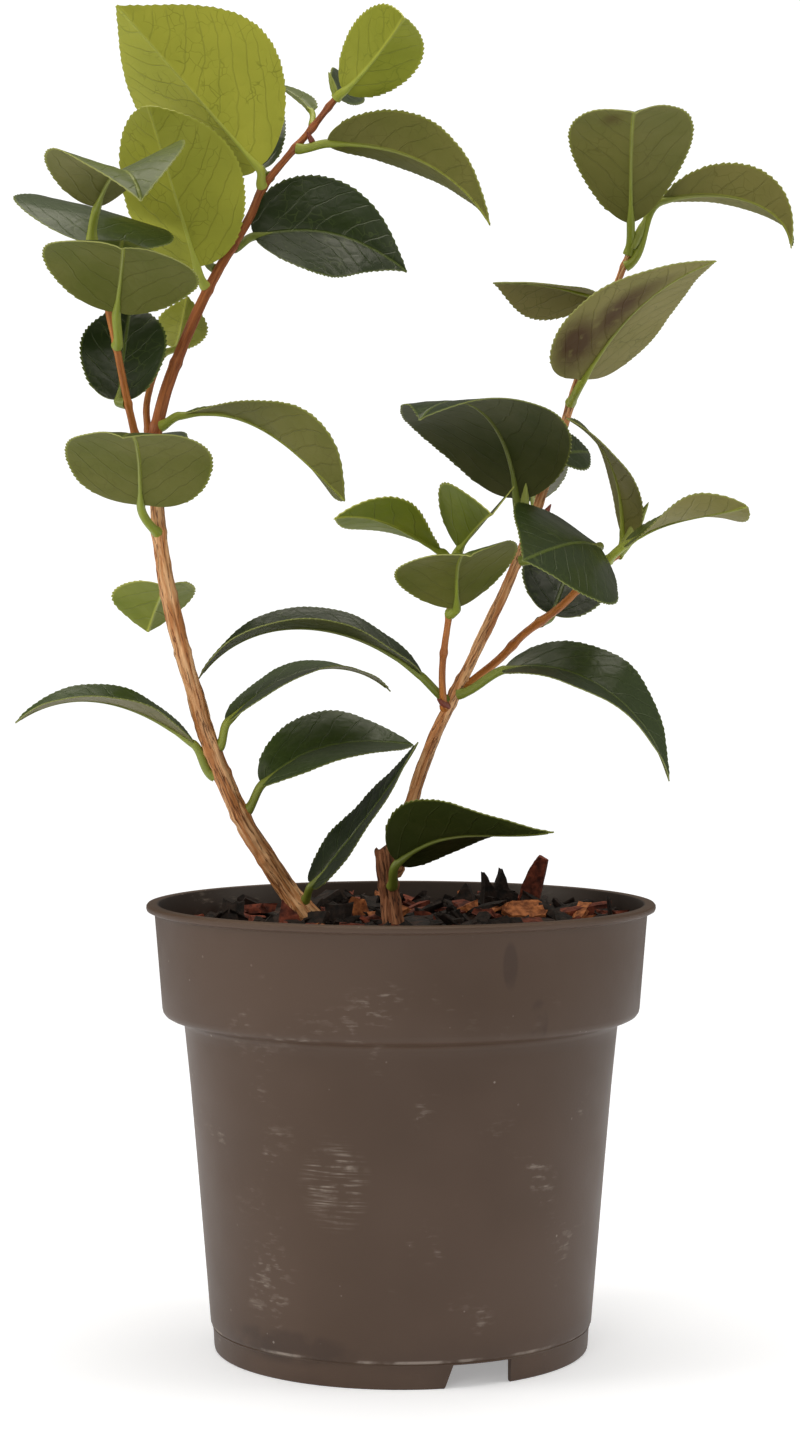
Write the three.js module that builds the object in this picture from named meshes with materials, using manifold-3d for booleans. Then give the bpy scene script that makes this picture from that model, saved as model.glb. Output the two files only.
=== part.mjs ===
// A young camellia in a round nursery pot: two bare stems, their forks and every leaf as a solid of its own.
// Millimetres, +Z up. The origin is the centre of the pot's foot on the ground, and -Y is the front.
// Every limb is one tapering sweep along a curve, and every leaf is a thin blade with its stalk.
import * as THREE from "three";
import { mergeVertices } from "three/addons/utils/BufferGeometryUtils.js";
import Module from "manifold-3d";

const wasm = await Module();
wasm.setup();

// Pot
const RIM_R = 75; // outside of the lip, so the pot is 150 mm across
const POT_H = 131.4;
const LIP_H = 2; // the lip's height
const LIP_OUT = 2.4; // the lip's overhang past the band
const BAND_TOP_R = RIM_R - LIP_OUT;
const BAND_FOOT_R = 70.3;
const BAND_FOOT_Z = 98.4; // underside of the deep band
const BODY_TOP_R = 64.1;
const BODY_FOOT_R = 56.2;
const FLOOR_Z = 7.2; // underside of the raised floor, level with the seam round the foot
const FOOT_R = 55.2;
const FOOT_RING = 1.8; // width of the ring that the pot stands on
const WALL = 1.3;
const POT_SIDES = 48;
const NOTCH_W = 21; // the three arched notches that let water out from under the floor
const NOTCH_H = 6.6;
const NOTCH_SLANT = 3;
const NOTCH_ANGLES = [23, 143, 263]; // degrees from the front towards +X
const DRAIN_R = 4.5;
const DRAIN_RING = 41;
const DRAINS = 6;

// Root ball, mulch and bark chips
const GAP = 0.3; // clearance between neighbouring solids
const COMPOST_TOP = 116;
const SOIL_Z = 125; // level top of the mulch round the stems
const MULCH_LEVEL_R = 48; // inside this radius the mulch is level
const MULCH_UNEVEN = 2.2;
const CHIP_THICK = 3.2;

// Limbs and leaves
const LIMB_SIDES = 8;
const LIMB_STEP = 9; // length of one facet of a limb
const ROOT_FLARE = 0.3; // how much wider a stem is at the soil, as a share of its radius
const STALK_R = 1.15; // leaf stalk, thinner on small leaves
const BLADE_THICK = 0.9; // at the midrib, thinning to the margins
const BLADE_STATIONS = [0, 0.07, 0.2, 0.36, 0.52, 0.68, 0.83, 0.94];

const rad = THREE.MathUtils.degToRad;
const vec = (p) => new THREE.Vector3(...p);

const MATERIALS = {
  pot: new THREE.MeshStandardMaterial({ color: 0x5d524c, roughness: 0.55, metalness: 0 }),
  compost: new THREE.MeshStandardMaterial({ color: 0x2b211c, roughness: 0.95, metalness: 0 }),
  mulch: new THREE.MeshStandardMaterial({ color: 0x3a2620, roughness: 0.9, metalness: 0 }),
  chip: new THREE.MeshStandardMaterial({ color: 0x7a4630, roughness: 0.85, metalness: 0 }),
  oldBark: new THREE.MeshStandardMaterial({ color: 0x8a6a50, roughness: 0.85, metalness: 0 }),
  youngBark: new THREE.MeshStandardMaterial({ color: 0x87492f, roughness: 0.6, metalness: 0 }),
  darkLeaf: new THREE.MeshStandardMaterial({ color: 0x2c3f26, roughness: 0.4, metalness: 0 }),
  oliveLeaf: new THREE.MeshStandardMaterial({ color: 0x5d6236, roughness: 0.55, metalness: 0 }),
  youngLeaf: new THREE.MeshStandardMaterial({ color: 0x8b9a3f, roughness: 0.5, metalness: 0 }),
};

const shrub = new THREE.Group();
shrub.name = "potted_camellia";

function addMesh(name, geometry, material) {
  const mesh = new THREE.Mesh(geometry, MATERIALS[material]);
  mesh.name = name;
  shrub.add(mesh);
}

// ---------------------------------------------------------------- solids

// Keeps only the positions and merges the points that neighbouring faces share.
function weld(geometry) {
  geometry.deleteAttribute("normal");
  geometry.deleteAttribute("uv");
  return mergeVertices(geometry, 1e-4);
}

function toSolid(geometry) {
  const welded = weld(geometry);
  const mesh = new wasm.Mesh({
    numProp: 3,
    vertProperties: new Float32Array(welded.attributes.position.array),
    triVerts: new Uint32Array(welded.index.array),
  });
  return new wasm.Manifold(mesh);
}

function toGeometry(solid) {
  const mesh = solid.getMesh();
  const geometry = new THREE.BufferGeometry();
  geometry.setAttribute("position", new THREE.BufferAttribute(mesh.vertProperties, 3));
  geometry.setIndex(new THREE.BufferAttribute(mesh.triVerts, 1));
  return geometry;
}

// Turns a closed outline of [radius, height] pairs round the Z axis.
function turned(outline, sides = POT_SIDES) {
  const lathe = new THREE.LatheGeometry(outline.map(([r, z]) => new THREE.Vector2(r, z)), sides);
  return lathe.rotateX(Math.PI / 2);
}

// Closes a row of rings, each an equal number of points, into one body. The rings turn
// anticlockwise seen from the far end, and a ring of one point ends the body in a tip.
function loft(rings) {
  const points = rings.flat();
  const count = rings[0].length;
  const faces = [];
  for (let i = 1; i < count - 1; i++) faces.push(0, i + 1, i);
  for (let k = 0; k + 1 < rings.length; k++) {
    const near = k * count;
    const far = near + count;
    for (let i = 0; i < count; i++) {
      const j = (i + 1) % count;
      if (rings[k + 1].length === 1) faces.push(near + i, near + j, far);
      else faces.push(near + i, near + j, far + j, near + i, far + j, far + i);
    }
  }
  const last = points.length - count;
  if (rings.at(-1).length > 1) {
    for (let i = 1; i < count - 1; i++) faces.push(last, last + i, last + i + 1);
  }
  const geometry = new THREE.BufferGeometry().setFromPoints(points);
  geometry.setIndex(faces);
  return geometry;
}

// ---------------------------------------------------------------- pot, root ball and mulch

// Inside radius of the wall at a height, measured on the same tapers as the outside.
function insideRadius(z) {
  const [r0, z0, r1, z1] = z > BAND_FOOT_Z
    ? [BAND_FOOT_R, BAND_FOOT_Z, BAND_TOP_R, POT_H]
    : [BODY_FOOT_R, FLOOR_Z, BODY_TOP_R, BAND_FOOT_Z];
  return THREE.MathUtils.lerp(r0, r1, (z - z0) / (z1 - z0)) - WALL;
}

function addPot() {
  const floorTop = FLOOR_Z + WALL;
  const outline = [
    [0, FLOOR_Z],
    [FOOT_R - FOOT_RING, FLOOR_Z],
    [FOOT_R - FOOT_RING, 0],
    [FOOT_R, 0],
    [FOOT_R + 0.2, FLOOR_Z - 0.3],
    [BODY_FOOT_R, FLOOR_Z + 0.5],
    [BODY_TOP_R, BAND_FOOT_Z - 1.6],
    [BAND_FOOT_R - 0.7, BAND_FOOT_Z],
    [BAND_FOOT_R, BAND_FOOT_Z + 0.7],
    [BAND_TOP_R, POT_H - LIP_H - 0.3],
    [RIM_R, POT_H - LIP_H + 0.2],
    [RIM_R, POT_H - 0.5],
    [RIM_R - 0.5, POT_H],
    [BAND_TOP_R - WALL, POT_H],
    [BAND_FOOT_R - WALL, BAND_FOOT_Z + WALL],
    [BODY_TOP_R - WALL, BAND_FOOT_Z],
    [insideRadius(floorTop), floorTop],
    [0, floorTop],
  ];
  let pot = toSolid(turned(outline));

  const notch = new THREE.Shape([
    new THREE.Vector2(NOTCH_W / 2, -1),
    new THREE.Vector2(NOTCH_W / 2, NOTCH_H),
    new THREE.Vector2(NOTCH_SLANT - NOTCH_W / 2, NOTCH_H),
    new THREE.Vector2(-NOTCH_W / 2, -1),
  ]);
  for (const angle of NOTCH_ANGLES) {
    const cutter = new THREE.ExtrudeGeometry(notch, { depth: 20, bevelEnabled: false });
    cutter.rotateX(Math.PI / 2).translate(0, 10 - FOOT_R, 0).rotateZ(rad(angle));
    pot = pot.subtract(toSolid(cutter));
  }

  for (let i = 0; i < DRAINS; i++) {
    const drain = new THREE.CylinderGeometry(DRAIN_R, DRAIN_R, 6, 10).rotateX(Math.PI / 2);
    drain.translate(0, DRAIN_RING, FLOOR_Z + WALL / 2).rotateZ(rad(i * 360 / DRAINS));
    pot = pot.subtract(toSolid(drain));
  }
  addMesh("nursery_pot", toGeometry(pot), "pot");
}

function addRootBall() {
  const foot = FLOOR_Z + WALL + GAP;
  const outline = [
    [0, foot],
    [insideRadius(foot) - GAP, foot],
    [BODY_TOP_R - WALL - GAP, BAND_FOOT_Z + GAP],
    [BAND_FOOT_R - WALL - GAP, BAND_FOOT_Z + WALL + GAP],
    [insideRadius(COMPOST_TOP) - GAP, COMPOST_TOP],
    [0, COMPOST_TOP],
  ];
  addMesh("root_ball", weld(turned(outline, POT_SIDES / 2)), "compost");
}

// A layer of loose bark, level round the stems and lumpy towards the wall.
function addMulch() {
  const foot = COMPOST_TOP + GAP;
  const wall = insideRadius(foot) - GAP;
  const outline = [[0, foot], [wall, foot], [wall + 0.4, SOIL_Z], [wall - 7, SOIL_Z]];
  outline.push([wall - 14, SOIL_Z], [MULCH_LEVEL_R, SOIL_Z], [0, SOIL_Z]);
  const geometry = weld(turned(outline, POT_SIDES / 2));
  const position = geometry.attributes.position;
  for (let i = 0; i < position.count; i++) {
    const [x, y, z] = [position.getX(i), position.getY(i), position.getZ(i)];
    const r = Math.hypot(x, y);
    if (z < SOIL_Z - 1 || r < MULCH_LEVEL_R + 1) continue;
    const wave = Math.sin(x * 0.37 + 1) * Math.cos(y * 0.29 - 0.5) + Math.sin((x - y) * 0.23);
    position.setZ(i, z + MULCH_UNEVEN * wave * 0.5);
  }
  addMesh("bark_mulch", geometry, "mulch");
}

// A split piece of bark: an outline in its own plane, as thick as CHIP_THICK.
function addChip(name, outline, place) {
  const shape = new THREE.Shape(outline.map(([x, y]) => new THREE.Vector2(x, y)));
  const chip = new THREE.ExtrudeGeometry(shape, { depth: CHIP_THICK, bevelEnabled: false });
  addMesh(name, weld(place(chip)), "chip");
}

// ---------------------------------------------------------------- limbs

const limbs = new Map();

// Parameter of the point on a limb's curve at a height: all limbs rise all the way.
function atHeight(curve, height) {
  let [low, high] = [0, 1];
  for (let i = 0; i < 24; i++) {
    const middle = (low + high) / 2;
    if (curve.getPointAt(middle).z < height) low = middle;
    else high = middle;
  }
  return low;
}

// Radius of a limb at u, with the root flare over its first facet.
function limbRadius(limb, u) {
  const swell = limb.flare * Math.max(0, 1 - u * limb.steps);
  return THREE.MathUtils.lerp(limb.r0, limb.r1, u) * (1 + swell);
}

// Where something that heads for a target leaves a limb: a point GAP outside the bark and the
// way out. "tip" leaves from the limb's end.
function leavingPoint(limbName, height, target) {
  const limb = limbs.get(limbName);
  if (height === "tip") {
    const out = limb.curve.getTangentAt(1);
    return { point: limb.curve.getPointAt(1).addScaledVector(out, GAP), out };
  }
  const u = atHeight(limb.curve, height);
  const point = limb.curve.getPointAt(u);
  const along = limb.curve.getTangentAt(u);
  const out = target.clone().sub(point);
  out.addScaledVector(along, -out.dot(along)).normalize();
  return { point: point.addScaledVector(out, limbRadius(limb, u) + GAP), out };
}

// Ring of points round a centre, at right angles to a direction.
function ring(centre, direction, side, radius) {
  const x = side.clone().addScaledVector(direction, -side.dot(direction)).normalize();
  const y = new THREE.Vector3().crossVectors(direction, x);
  return Array.from({ length: LIMB_SIDES }, (_, i) => {
    const a = (i * 2 * Math.PI) / LIMB_SIDES;
    const point = centre.clone().addScaledVector(x, radius * Math.cos(a));
    return point.addScaledVector(y, radius * Math.sin(a));
  });
}

// One tapering limb through the points. It grows from the soil or from another limb.
function addLimb(name, from, points, r0, r1, material) {
  const path = points.map(vec);
  let out = new THREE.Vector3(0, 0, 1);
  if (from !== "soil") {
    const start = leavingPoint(from.limb, from.at, path[0]);
    out = start.out;
    path.unshift(start.point);
  }
  const curve = new THREE.CatmullRomCurve3(path, false, "centripetal");
  const steps = Math.max(3, Math.round(curve.getLength() / LIMB_STEP));
  const limb = { curve, r0, r1, steps, flare: from === "soil" ? ROOT_FLARE : 0 };
  limbs.set(name, limb);
  const frames = curve.computeFrenetFrames(steps, false);
  const rings = [];
  for (let i = 0; i <= steps; i++) {
    const u = i / steps;
    const direction = i === 0 ? out : frames.tangents[i];
    rings.push(ring(curve.getPointAt(u), direction, frames.normals[i], limbRadius(limb, u)));
  }
  addMesh(name, loft(rings), material);
}

// ---------------------------------------------------------------- leaves

// Half width of a blade along its length: rounded at the stalk, drawn out to a point at the tip.
function halfWidth(t, leaf) {
  return (leaf.width / 2) * Math.sin(Math.PI * t ** leaf.early) ** (leaf.round + 0.5 * t);
}

// Centre line of a blade and its frame at t: along, across and the upper side's normal.
// The blade rises from its base, droops to its tip and turns about its length by twist.
function midrib(leaf) {
  const base = vec(leaf.base);
  const tip = vec(leaf.tip);
  const along = tip.clone().sub(base);
  const length = along.length();
  along.normalize();
  const up = vec(leaf.up);
  up.addScaledVector(along, -up.dot(along)).normalize();
  const across = new THREE.Vector3().crossVectors(along, up);
  const [rise, droop, sweep] = [leaf.rise, leaf.droop, leaf.sweep].map(rad);
  const handle = (0.36 * length) / Math.max(0.6, Math.cos((rise + droop) / 4));
  const near = base.clone().addScaledVector(along, handle * Math.cos(rise));
  near.addScaledVector(up, handle * Math.sin(rise)).addScaledVector(across, handle * Math.sin(sweep));
  const far = tip.clone().addScaledVector(along, -handle * Math.cos(droop));
  far.addScaledVector(up, handle * Math.sin(droop)).addScaledVector(across, handle * Math.sin(sweep));
  const curve = new THREE.CubicBezierCurve3(base, near, far, tip);
  return (t) => {
    const direction = curve.getTangent(t);
    const normal = new THREE.Vector3().crossVectors(across, direction).normalize();
    const side = new THREE.Vector3().crossVectors(direction, normal);
    const turn = rad(leaf.twist) * (t - 0.5);
    const right = side.clone().multiplyScalar(Math.cos(turn)).addScaledVector(normal, Math.sin(turn));
    const upper = normal.multiplyScalar(Math.cos(turn)).addScaledVector(side, -Math.sin(turn));
    return { centre: curve.getPoint(t), direction, right, upper };
  };
}

// Point of a blade at a distance from the midrib, on the left (-1) or right (+1) half. Each half
// folds up from the midrib by its own angle and may curl on towards the margin.
function bladePoint(frame, leaf, hand, distance, lift) {
  const fold = rad(hand < 0 ? leaf.fold[0] : leaf.fold[1]);
  const curl = (rad(leaf.curl) * distance) / leaf.width;
  const out = frame.right.clone().multiplyScalar(hand * Math.cos(fold + curl));
  out.addScaledVector(frame.upper, Math.sin(fold + curl));
  return frame.centre.clone().addScaledVector(out, distance).addScaledVector(frame.upper, lift);
}

// Section of a blade: right margin, upper side, left margin, underside.
function bladeSection(frame, leaf, half) {
  const thick = Math.min(BLADE_THICK, half * 0.6) / 2;
  const at = (hand, share, lift) => bladePoint(frame, leaf, hand, half * share, lift * thick);
  const upperSide = [at(1, 1, 0), at(1, 0.5, 0.8), at(1, 0, 1), at(-1, 0.5, 0.8)];
  const underside = [at(-1, 1, 0), at(-1, 0.5, -0.8), at(1, 0, -1), at(1, 0.5, -0.8)];
  return [...upperSide, ...underside].reverse();
}

// Section of the stalk with as many points as a section of the blade.
function stalkSection(centre, direction, frame, radius) {
  return ring(centre, direction, frame.right, radius).map((_, i, all) => all[(i + 1) % 8]);
}

const LEAF_HABIT = { rise: 10, droop: 10, sweep: 0, twist: 0, curl: 0, early: 0.85, round: 0.6 };
const leafCounts = new Map();

// One leaf: a stalk that leaves a limb at a height, and a blade from base to tip. up is the way
// its upper side faces, and habit holds its arch, fold and outline where they differ from the rest.
function addLeaf(limbName, at, base, tip, up, width, habit, material) {
  const leaf = { ...LEAF_HABIT, base, tip, up, width, ...habit };
  leaf.fold = Array.isArray(leaf.fold) ? leaf.fold : [leaf.fold ?? 8, leaf.fold ?? 8];
  const frameAt = midrib(leaf);
  const first = frameAt(0);
  const start = leavingPoint(limbName, at, first.centre);
  const bend = first.centre.clone().sub(start.point).normalize().add(first.direction).normalize();
  const radius = Math.min(STALK_R, width / 16);
  const rings = [stalkSection(start.point, start.out, first, radius)];
  for (const t of BLADE_STATIONS) {
    if (t === 0) rings.push(stalkSection(first.centre, bend, first, radius));
    else rings.push(bladeSection(frameAt(t), leaf, halfWidth(t, leaf)));
  }
  rings.push([vec(tip)]);
  const count = (leafCounts.get(limbName) ?? 0) + 1;
  leafCounts.set(limbName, count);
  addMesh(`${limbName}_leaf_${count}`, loft(rings), material);
}

// ---------------------------------------------------------------- the plant

addPot();
addRootBall();
addMulch();
addChip("upright_bark_chip", [[-3, 0], [3, 0], [5, 8], [7, 17], [4.5, 18.5], [-1, 9]], (chip) =>
  chip.rotateX(Math.PI / 2).rotateZ(rad(-15)).translate(38, 25, SOIL_Z + GAP));
addChip("pointed_bark_chip", [[-5, 0], [5, 0], [6, 6], [3, 8], [1, 14], [-1.5, 7], [-5, 13]], (chip) =>
  chip.rotateX(Math.PI / 2).rotateZ(rad(20)).translate(29, 30, SOIL_Z + GAP));
addChip("flat_bark_chip", [[-7, 0], [-5, -3], [1, -4], [6, -3], [7.5, 1], [4, 3.5], [-4, 3]], (chip) =>
  chip.translate(37, 12, SOIL_Z + GAP));

const SOIL_CUT = SOIL_Z + GAP; // the flat cut that both stems stand on

addLimb("left_stem", "soil", [
  [-27, 6, SOIL_CUT], [-34, 5, 135], [-46, 2, 154], [-56, -1, 177], [-62, -3, 198],
  [-67.6, -5, 220], [-70.8, -6, 241], [-72.3, -5, 267],
], 3.1, 2, "oldBark");
addLimb("left_top_bough", { limb: "left_stem", at: "tip" }, [
  [-68, 0, 285], [-58, 5, 310], [-54, 7, 318], [-45, 11, 334], [-41, 12, 343], [-28, 14, 359], [-19, 13, 370],
], 1.95, 0.9, "youngBark");
addLimb("left_front_shoot", { limb: "left_stem", at: 255 }, [
  [-76, -11, 264], [-79, -14, 277], [-82, -20, 294], [-88, -28, 323],
], 1.2, 0.9, "youngBark");
addLimb("left_back_shoot", { limb: "left_stem", at: 262 }, [
  [-75, 2, 276], [-74, 6, 284], [-71, 13, 294],
], 1.1, 0.9, "youngBark");
addLimb("right_stump", "soil", [[-2, -12, SOIL_CUT], [-3, -12, 133], [-5, -12, 148]], 2.5, 3, "oldBark");
addLimb("right_stem", { limb: "right_stump", at: 141 }, [
  [1, -9, 154], [9, -5, 178], [17, -3, 195], [22, -1, 205], [30, 3, 222], [38, 7, 241],
  [46, 11, 264], [52, 13, 284], [62, 15, 309], [68, 14, 324],
], 2.1, 1, "oldBark");
addLimb("right_low_shoot", { limb: "right_stem", at: 188 }, [
  [12, -11, 200], [14, -17, 217], [16, -16, 233],
], 1.05, 0.9, "youngBark");
addLimb("right_side_shoot", { limb: "right_stem", at: 196 }, [
  [29, 1, 203], [36, 4, 210], [48, 9, 219], [60, 11, 231], [65, 12, 234],
], 1.3, 1, "youngBark");

// Left stem, from the soil up
addLeaf("left_stem", 130, [-26.5, 0, 136], [5, -8, 179], [-0.8, -0.35, 0.5], 18,
  { rise: -2, droop: -7, twist: 25, early: 0.75, round: 0.4 }, "darkLeaf");
addLeaf("left_stem", 157, [-41, 1, 166], [4, 15, 177], [0, -0.45, 1], 32,
  { rise: 38, droop: 24, fold: 12, early: 0.98, round: 0.48 }, "darkLeaf");
addLeaf("left_stem", 169, [-61, -2, 178], [-114.5, 5, 184], [0, -0.09, 1], 24,
  { rise: 33, droop: 42, twist: 30, fold: 16 }, "darkLeaf");
addLeaf("left_stem", 176, [-51.0, -2, 184.5], [-3, 20, 193], [0, -0.06, 1], 24,
  { rise: 39, droop: 50, twist: -5, fold: 5, early: 0.8 }, "darkLeaf");
addLeaf("left_stem", 222, [-70, 9, 224.5], [-77, 30, 211], [0, 0.6, 0.8], 27,
  { fold: [12, 35], early: 1.2, round: 0.3 }, "youngLeaf");
addLeaf("left_stem", 240, [-75, -18, 247.5], [-76, -64, 264], [0.22, 0.35, 1], 41,
  { rise: 22, droop: 42, fold: [8, -8], early: 0.72, round: 0.5 }, "oliveLeaf");
addLeaf("left_stem", 250, [-74, 4, 258], [-86, 66, 268], [0, -0.2, 1], 28,
  { rise: 20, droop: 25 }, "darkLeaf");

// Left front shoot
addLeaf("left_front_shoot", 277, [-82, -12, 278], [-80, 10, 309], [0, -1, 0.3], 25,
  { fold: 12, round: 0.42 }, "darkLeaf");
addLeaf("left_front_shoot", 293, [-81, -27, 302], [-76, -68, 315], [0.1, 0.5, 0.9], 44,
  { rise: 35, droop: 50, fold: [-10, -8] }, "oliveLeaf");
addLeaf("left_front_shoot", 317, [-88, -22, 322], [-92.3, 18, 336.5], [0.2, -0.6, 1], 47,
  { rise: 25, droop: 25, fold: [4, -10] }, "darkLeaf");
addLeaf("left_front_shoot", "tip", [-86, -32, 331], [-70, -74, 327], [0, 0.05, 1], 40,
  { rise: 43, droop: 46, fold: [28, 12] }, "oliveLeaf");

// Left back shoot
addLeaf("left_back_shoot", "tip", [-67, 16, 296], [-65, 35, 313], [0, 1, 0.2], 15,
  { fold: 10, round: 0.5, early: 1.1 }, "youngLeaf");

// Left top bough, from the fork to its tip
addLeaf("left_top_bough", 271, [-65, -6, 274], [-16, -20, 248.5], [0.35, 0.4, 0.85], 34,
  { rise: 47, droop: 18, twist: 58, fold: [30, 10], early: 1.7 }, "oliveLeaf");
addLeaf("left_top_bough", 312, [-60, 3, 318], [-73.0, -13, 363.0], [-0.1, 1, 0.2], 41,
  { rise: 15, droop: 42, fold: [4, 46], early: 0.82, round: 0.45 }, "youngLeaf");
addLeaf("left_top_bough", 318, [-58, 16, 322], [-69, 66, 343], [0, -0.35, 1], 26,
  { rise: 15, droop: 25 }, "darkLeaf");
addLeaf("left_top_bough", 325, [-44, 16, 329], [2, 30, 320], [-0.1, -0.85, 0.45], 38,
  { sweep: -26, fold: [5, 14], early: 0.8 }, "darkLeaf");
addLeaf("left_top_bough", 343, [-42, 8, 348], [-83.0, -5, 393.5], [-0.1, 1, 0.3], 56,
  { rise: 5, fold: [18, 50] }, "youngLeaf");
addLeaf("left_top_bough", 346, [-42, 22, 350], [-59, 68, 380], [0, -0.5, 1], 26,
  { rise: 15, droop: 25 }, "darkLeaf");
addLeaf("left_top_bough", 355, [-22, 12, 356], [26, -10, 329], [0.3, 0.55, 0.8], 26,
  { rise: 38, droop: 32, fold: 21 }, "oliveLeaf");
addLeaf("left_top_bough", 361, [-27, 20, 367], [-42, 34, 378], [0, 0.05, 1], 14,
  { rise: 15, droop: 15 }, "oliveLeaf");
addLeaf("left_top_bough", 367, [-19, 20, 371], [-16, 55, 382], [0.7, -0.2, 0.7], 13,
  { rise: 5, fold: 5 }, "darkLeaf");
addLeaf("left_top_bough", "tip", [-17, 10, 371], [1, -20, 387], [-0.2, 1, 0.5], 24,
  { droop: 25, sweep: -12, fold: [0, 50], round: 0.5 }, "youngLeaf");

// Right stump
addLeaf("right_stump", 137, [-1, -20, 144.3], [43, -43, 155], [-0.1, 0.6, 0.8], 34,
  { rise: 38, droop: 0, twist: -30, fold: [25, 10], early: 0.72 }, "darkLeaf");

// Right stem, from the stump to its tip
addLeaf("right_stem", 190, [6, -6, 198], [-60, 2, 197], [0, -0.12, 1], 28,
  { rise: 44, droop: 54, twist: 14, fold: 17 }, "darkLeaf");
addLeaf("right_stem", 193, [30, -10, 200], [77, -25, 168], [0.35, -0.35, 0.85], 34,
  { rise: 48, droop: 46, fold: 12, twist: 30 }, "darkLeaf");
addLeaf("right_stem", 240, [34, 0, 250], [5, -48, 270], [0.35, 0.45, 0.9], 50,
  { rise: 58, droop: 56, curl: -12, fold: [5, -2] }, "oliveLeaf");
addLeaf("right_stem", 232, [58, -7, 236], [33, -68, 230.5], [0.62, -0.35, 0.65], 40,
  { rise: 12, droop: 15, fold: [-12, -12] }, "darkLeaf");
addLeaf("right_stem", 246, [40, 18, 250], [34, 66, 267], [0, -0.3, 1], 27,
  { rise: 20, droop: 25 }, "darkLeaf");
addLeaf("right_stem", 262, [46, 18, 264], [58, 40, 266], [0.6, -0.8, 0.4], 12,
  { fold: 4 }, "darkLeaf");
addLeaf("right_stem", 279, [53.5, 2, 285], [90, -25, 317], [-0.5, 1, 0.3], 43,
  { droop: 15, sweep: 14, fold: [34, -22], early: 0.62, round: 0.45 }, "oliveLeaf");
addLeaf("right_stem", 296, [62, 24, 300], [68, 68, 310], [0, -0.1, 1], 26,
  { rise: 20, droop: 25, fold: 4 }, "darkLeaf");
addLeaf("right_stem", 307, [58, 13, 311], [27, 4, 314], [0, 0.4, 0.9], 28,
  { fold: [-28, -15], early: 0.8 }, "oliveLeaf");
addLeaf("right_stem", "tip", [68, 8, 332], [66, -36, 357], [0, 1, 0.6], 36,
  { rise: 30, droop: 48, fold: 10, early: 1 }, "oliveLeaf");
addLeaf("right_stem", 320, [77.5, 12, 339.0], [114, -4, 323], [0.2, 0.5, 0.85], 22,
  { rise: 47, droop: 62, fold: 25, early: 0.95, round: 0.75 }, "oliveLeaf");

// Right low shoot
addLeaf("right_low_shoot", 216, [16, -21, 218], [19, -62, 232], [-0.3, 0.45, 1], 35,
  { rise: 25, droop: 30, fold: [5, 8] }, "oliveLeaf");
addLeaf("right_low_shoot", "tip", [17, -15, 235], [25.5, -43, 244], [0.38, 0.37, 0.8], 31,
  { rise: 15, droop: 15, fold: [75, 24] }, "youngLeaf");
addLeaf("right_low_shoot", 230, [12, -14, 234], [-19, -38, 243], [0.1, 0.45, 0.9], 22,
  { rise: 15, droop: 25, twist: -38, fold: 10, early: 1.25, round: 0.75 }, "youngLeaf");

// Right side shoot
addLeaf("right_side_shoot", 214, [45, 13, 216], [53, 40, 234], [0.1, -1, 0.4], 26,
  { round: 0.45 }, "darkLeaf");
addLeaf("right_side_shoot", 232, [66, 3, 236.6], [99, -26, 247], [0, -0.1, 1], 24,
  { rise: 18, droop: 0, twist: 80, early: 1.6, round: 0.3 }, "oliveLeaf");
addLeaf("right_side_shoot", "tip", [66.6, 15, 239.3], [48, -13, 273], [1, 0.25, 0.35], 24,
  { rise: 24, droop: 30, early: 0.78 }, "oliveLeaf");

export default shrub;
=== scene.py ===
import math
import random

import bpy
import numpy as np
from mathutils import Matrix, Vector, noise


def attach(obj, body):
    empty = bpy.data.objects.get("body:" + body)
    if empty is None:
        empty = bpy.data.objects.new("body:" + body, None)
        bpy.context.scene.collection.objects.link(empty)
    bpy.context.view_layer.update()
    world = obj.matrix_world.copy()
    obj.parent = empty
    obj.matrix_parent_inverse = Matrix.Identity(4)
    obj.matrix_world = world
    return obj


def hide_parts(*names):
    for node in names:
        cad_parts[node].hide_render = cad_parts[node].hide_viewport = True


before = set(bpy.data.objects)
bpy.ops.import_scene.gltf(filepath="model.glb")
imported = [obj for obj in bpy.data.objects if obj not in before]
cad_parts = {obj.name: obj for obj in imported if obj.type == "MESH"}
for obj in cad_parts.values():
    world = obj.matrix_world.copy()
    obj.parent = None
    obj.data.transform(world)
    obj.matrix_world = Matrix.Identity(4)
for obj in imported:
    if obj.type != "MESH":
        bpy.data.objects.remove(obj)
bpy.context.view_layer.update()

# ---------------------------------------------------------------- nursery pot
# A thin injection-moulded pot of matt taupe plastic that has been knocked about: a standing ring
# with three notches, a tapering body, a deep band with a small lip, and a raised floor with holes.
MM = 0.001
POT_SIDES = 240
POT_OUTLINE = [
    (53.4, 7.2), (53.4, 0.5), (53.7, 0.1), (54.2, 0), (54.8, 0), (55.1, 0.3), (55.25, 1.0), (55.4, 3.6),
    (55.6, 6.6), (55.9, 7.0), (55.75, 7.3), (56.0, 7.6), (56.3, 8.2), (56.6, 12), (58.4, 34), (60.2, 56),
    (62.1, 78), (63.6, 93), (63.9, 95.6), (64.3, 96.6), (65.2, 97.3), (66.8, 97.9), (68.6, 98.4),
    (69.5, 98.9), (70.1, 99.7), (70.35, 100.8), (71.0, 109), (71.8, 119), (72.5, 127.6), (72.65, 128.7),
    (73.0, 129.0), (74.2, 129.2), (74.8, 129.5), (75, 130.1), (74.95, 130.8), (74.6, 131.25), (74.0, 131.4),
    (72.0, 131.35), (71.5, 131.2), (71.2, 130.6), (70.6, 123), (69.2, 104), (68.9, 100.4), (68.2, 99.8),
    (63.4, 98.6), (62.7, 97.2), (60.6, 75), (57.6, 39), (55.0, 9.2), (54.4, 8.5),
]
NOTCHES = [23, 143, 263]
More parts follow.
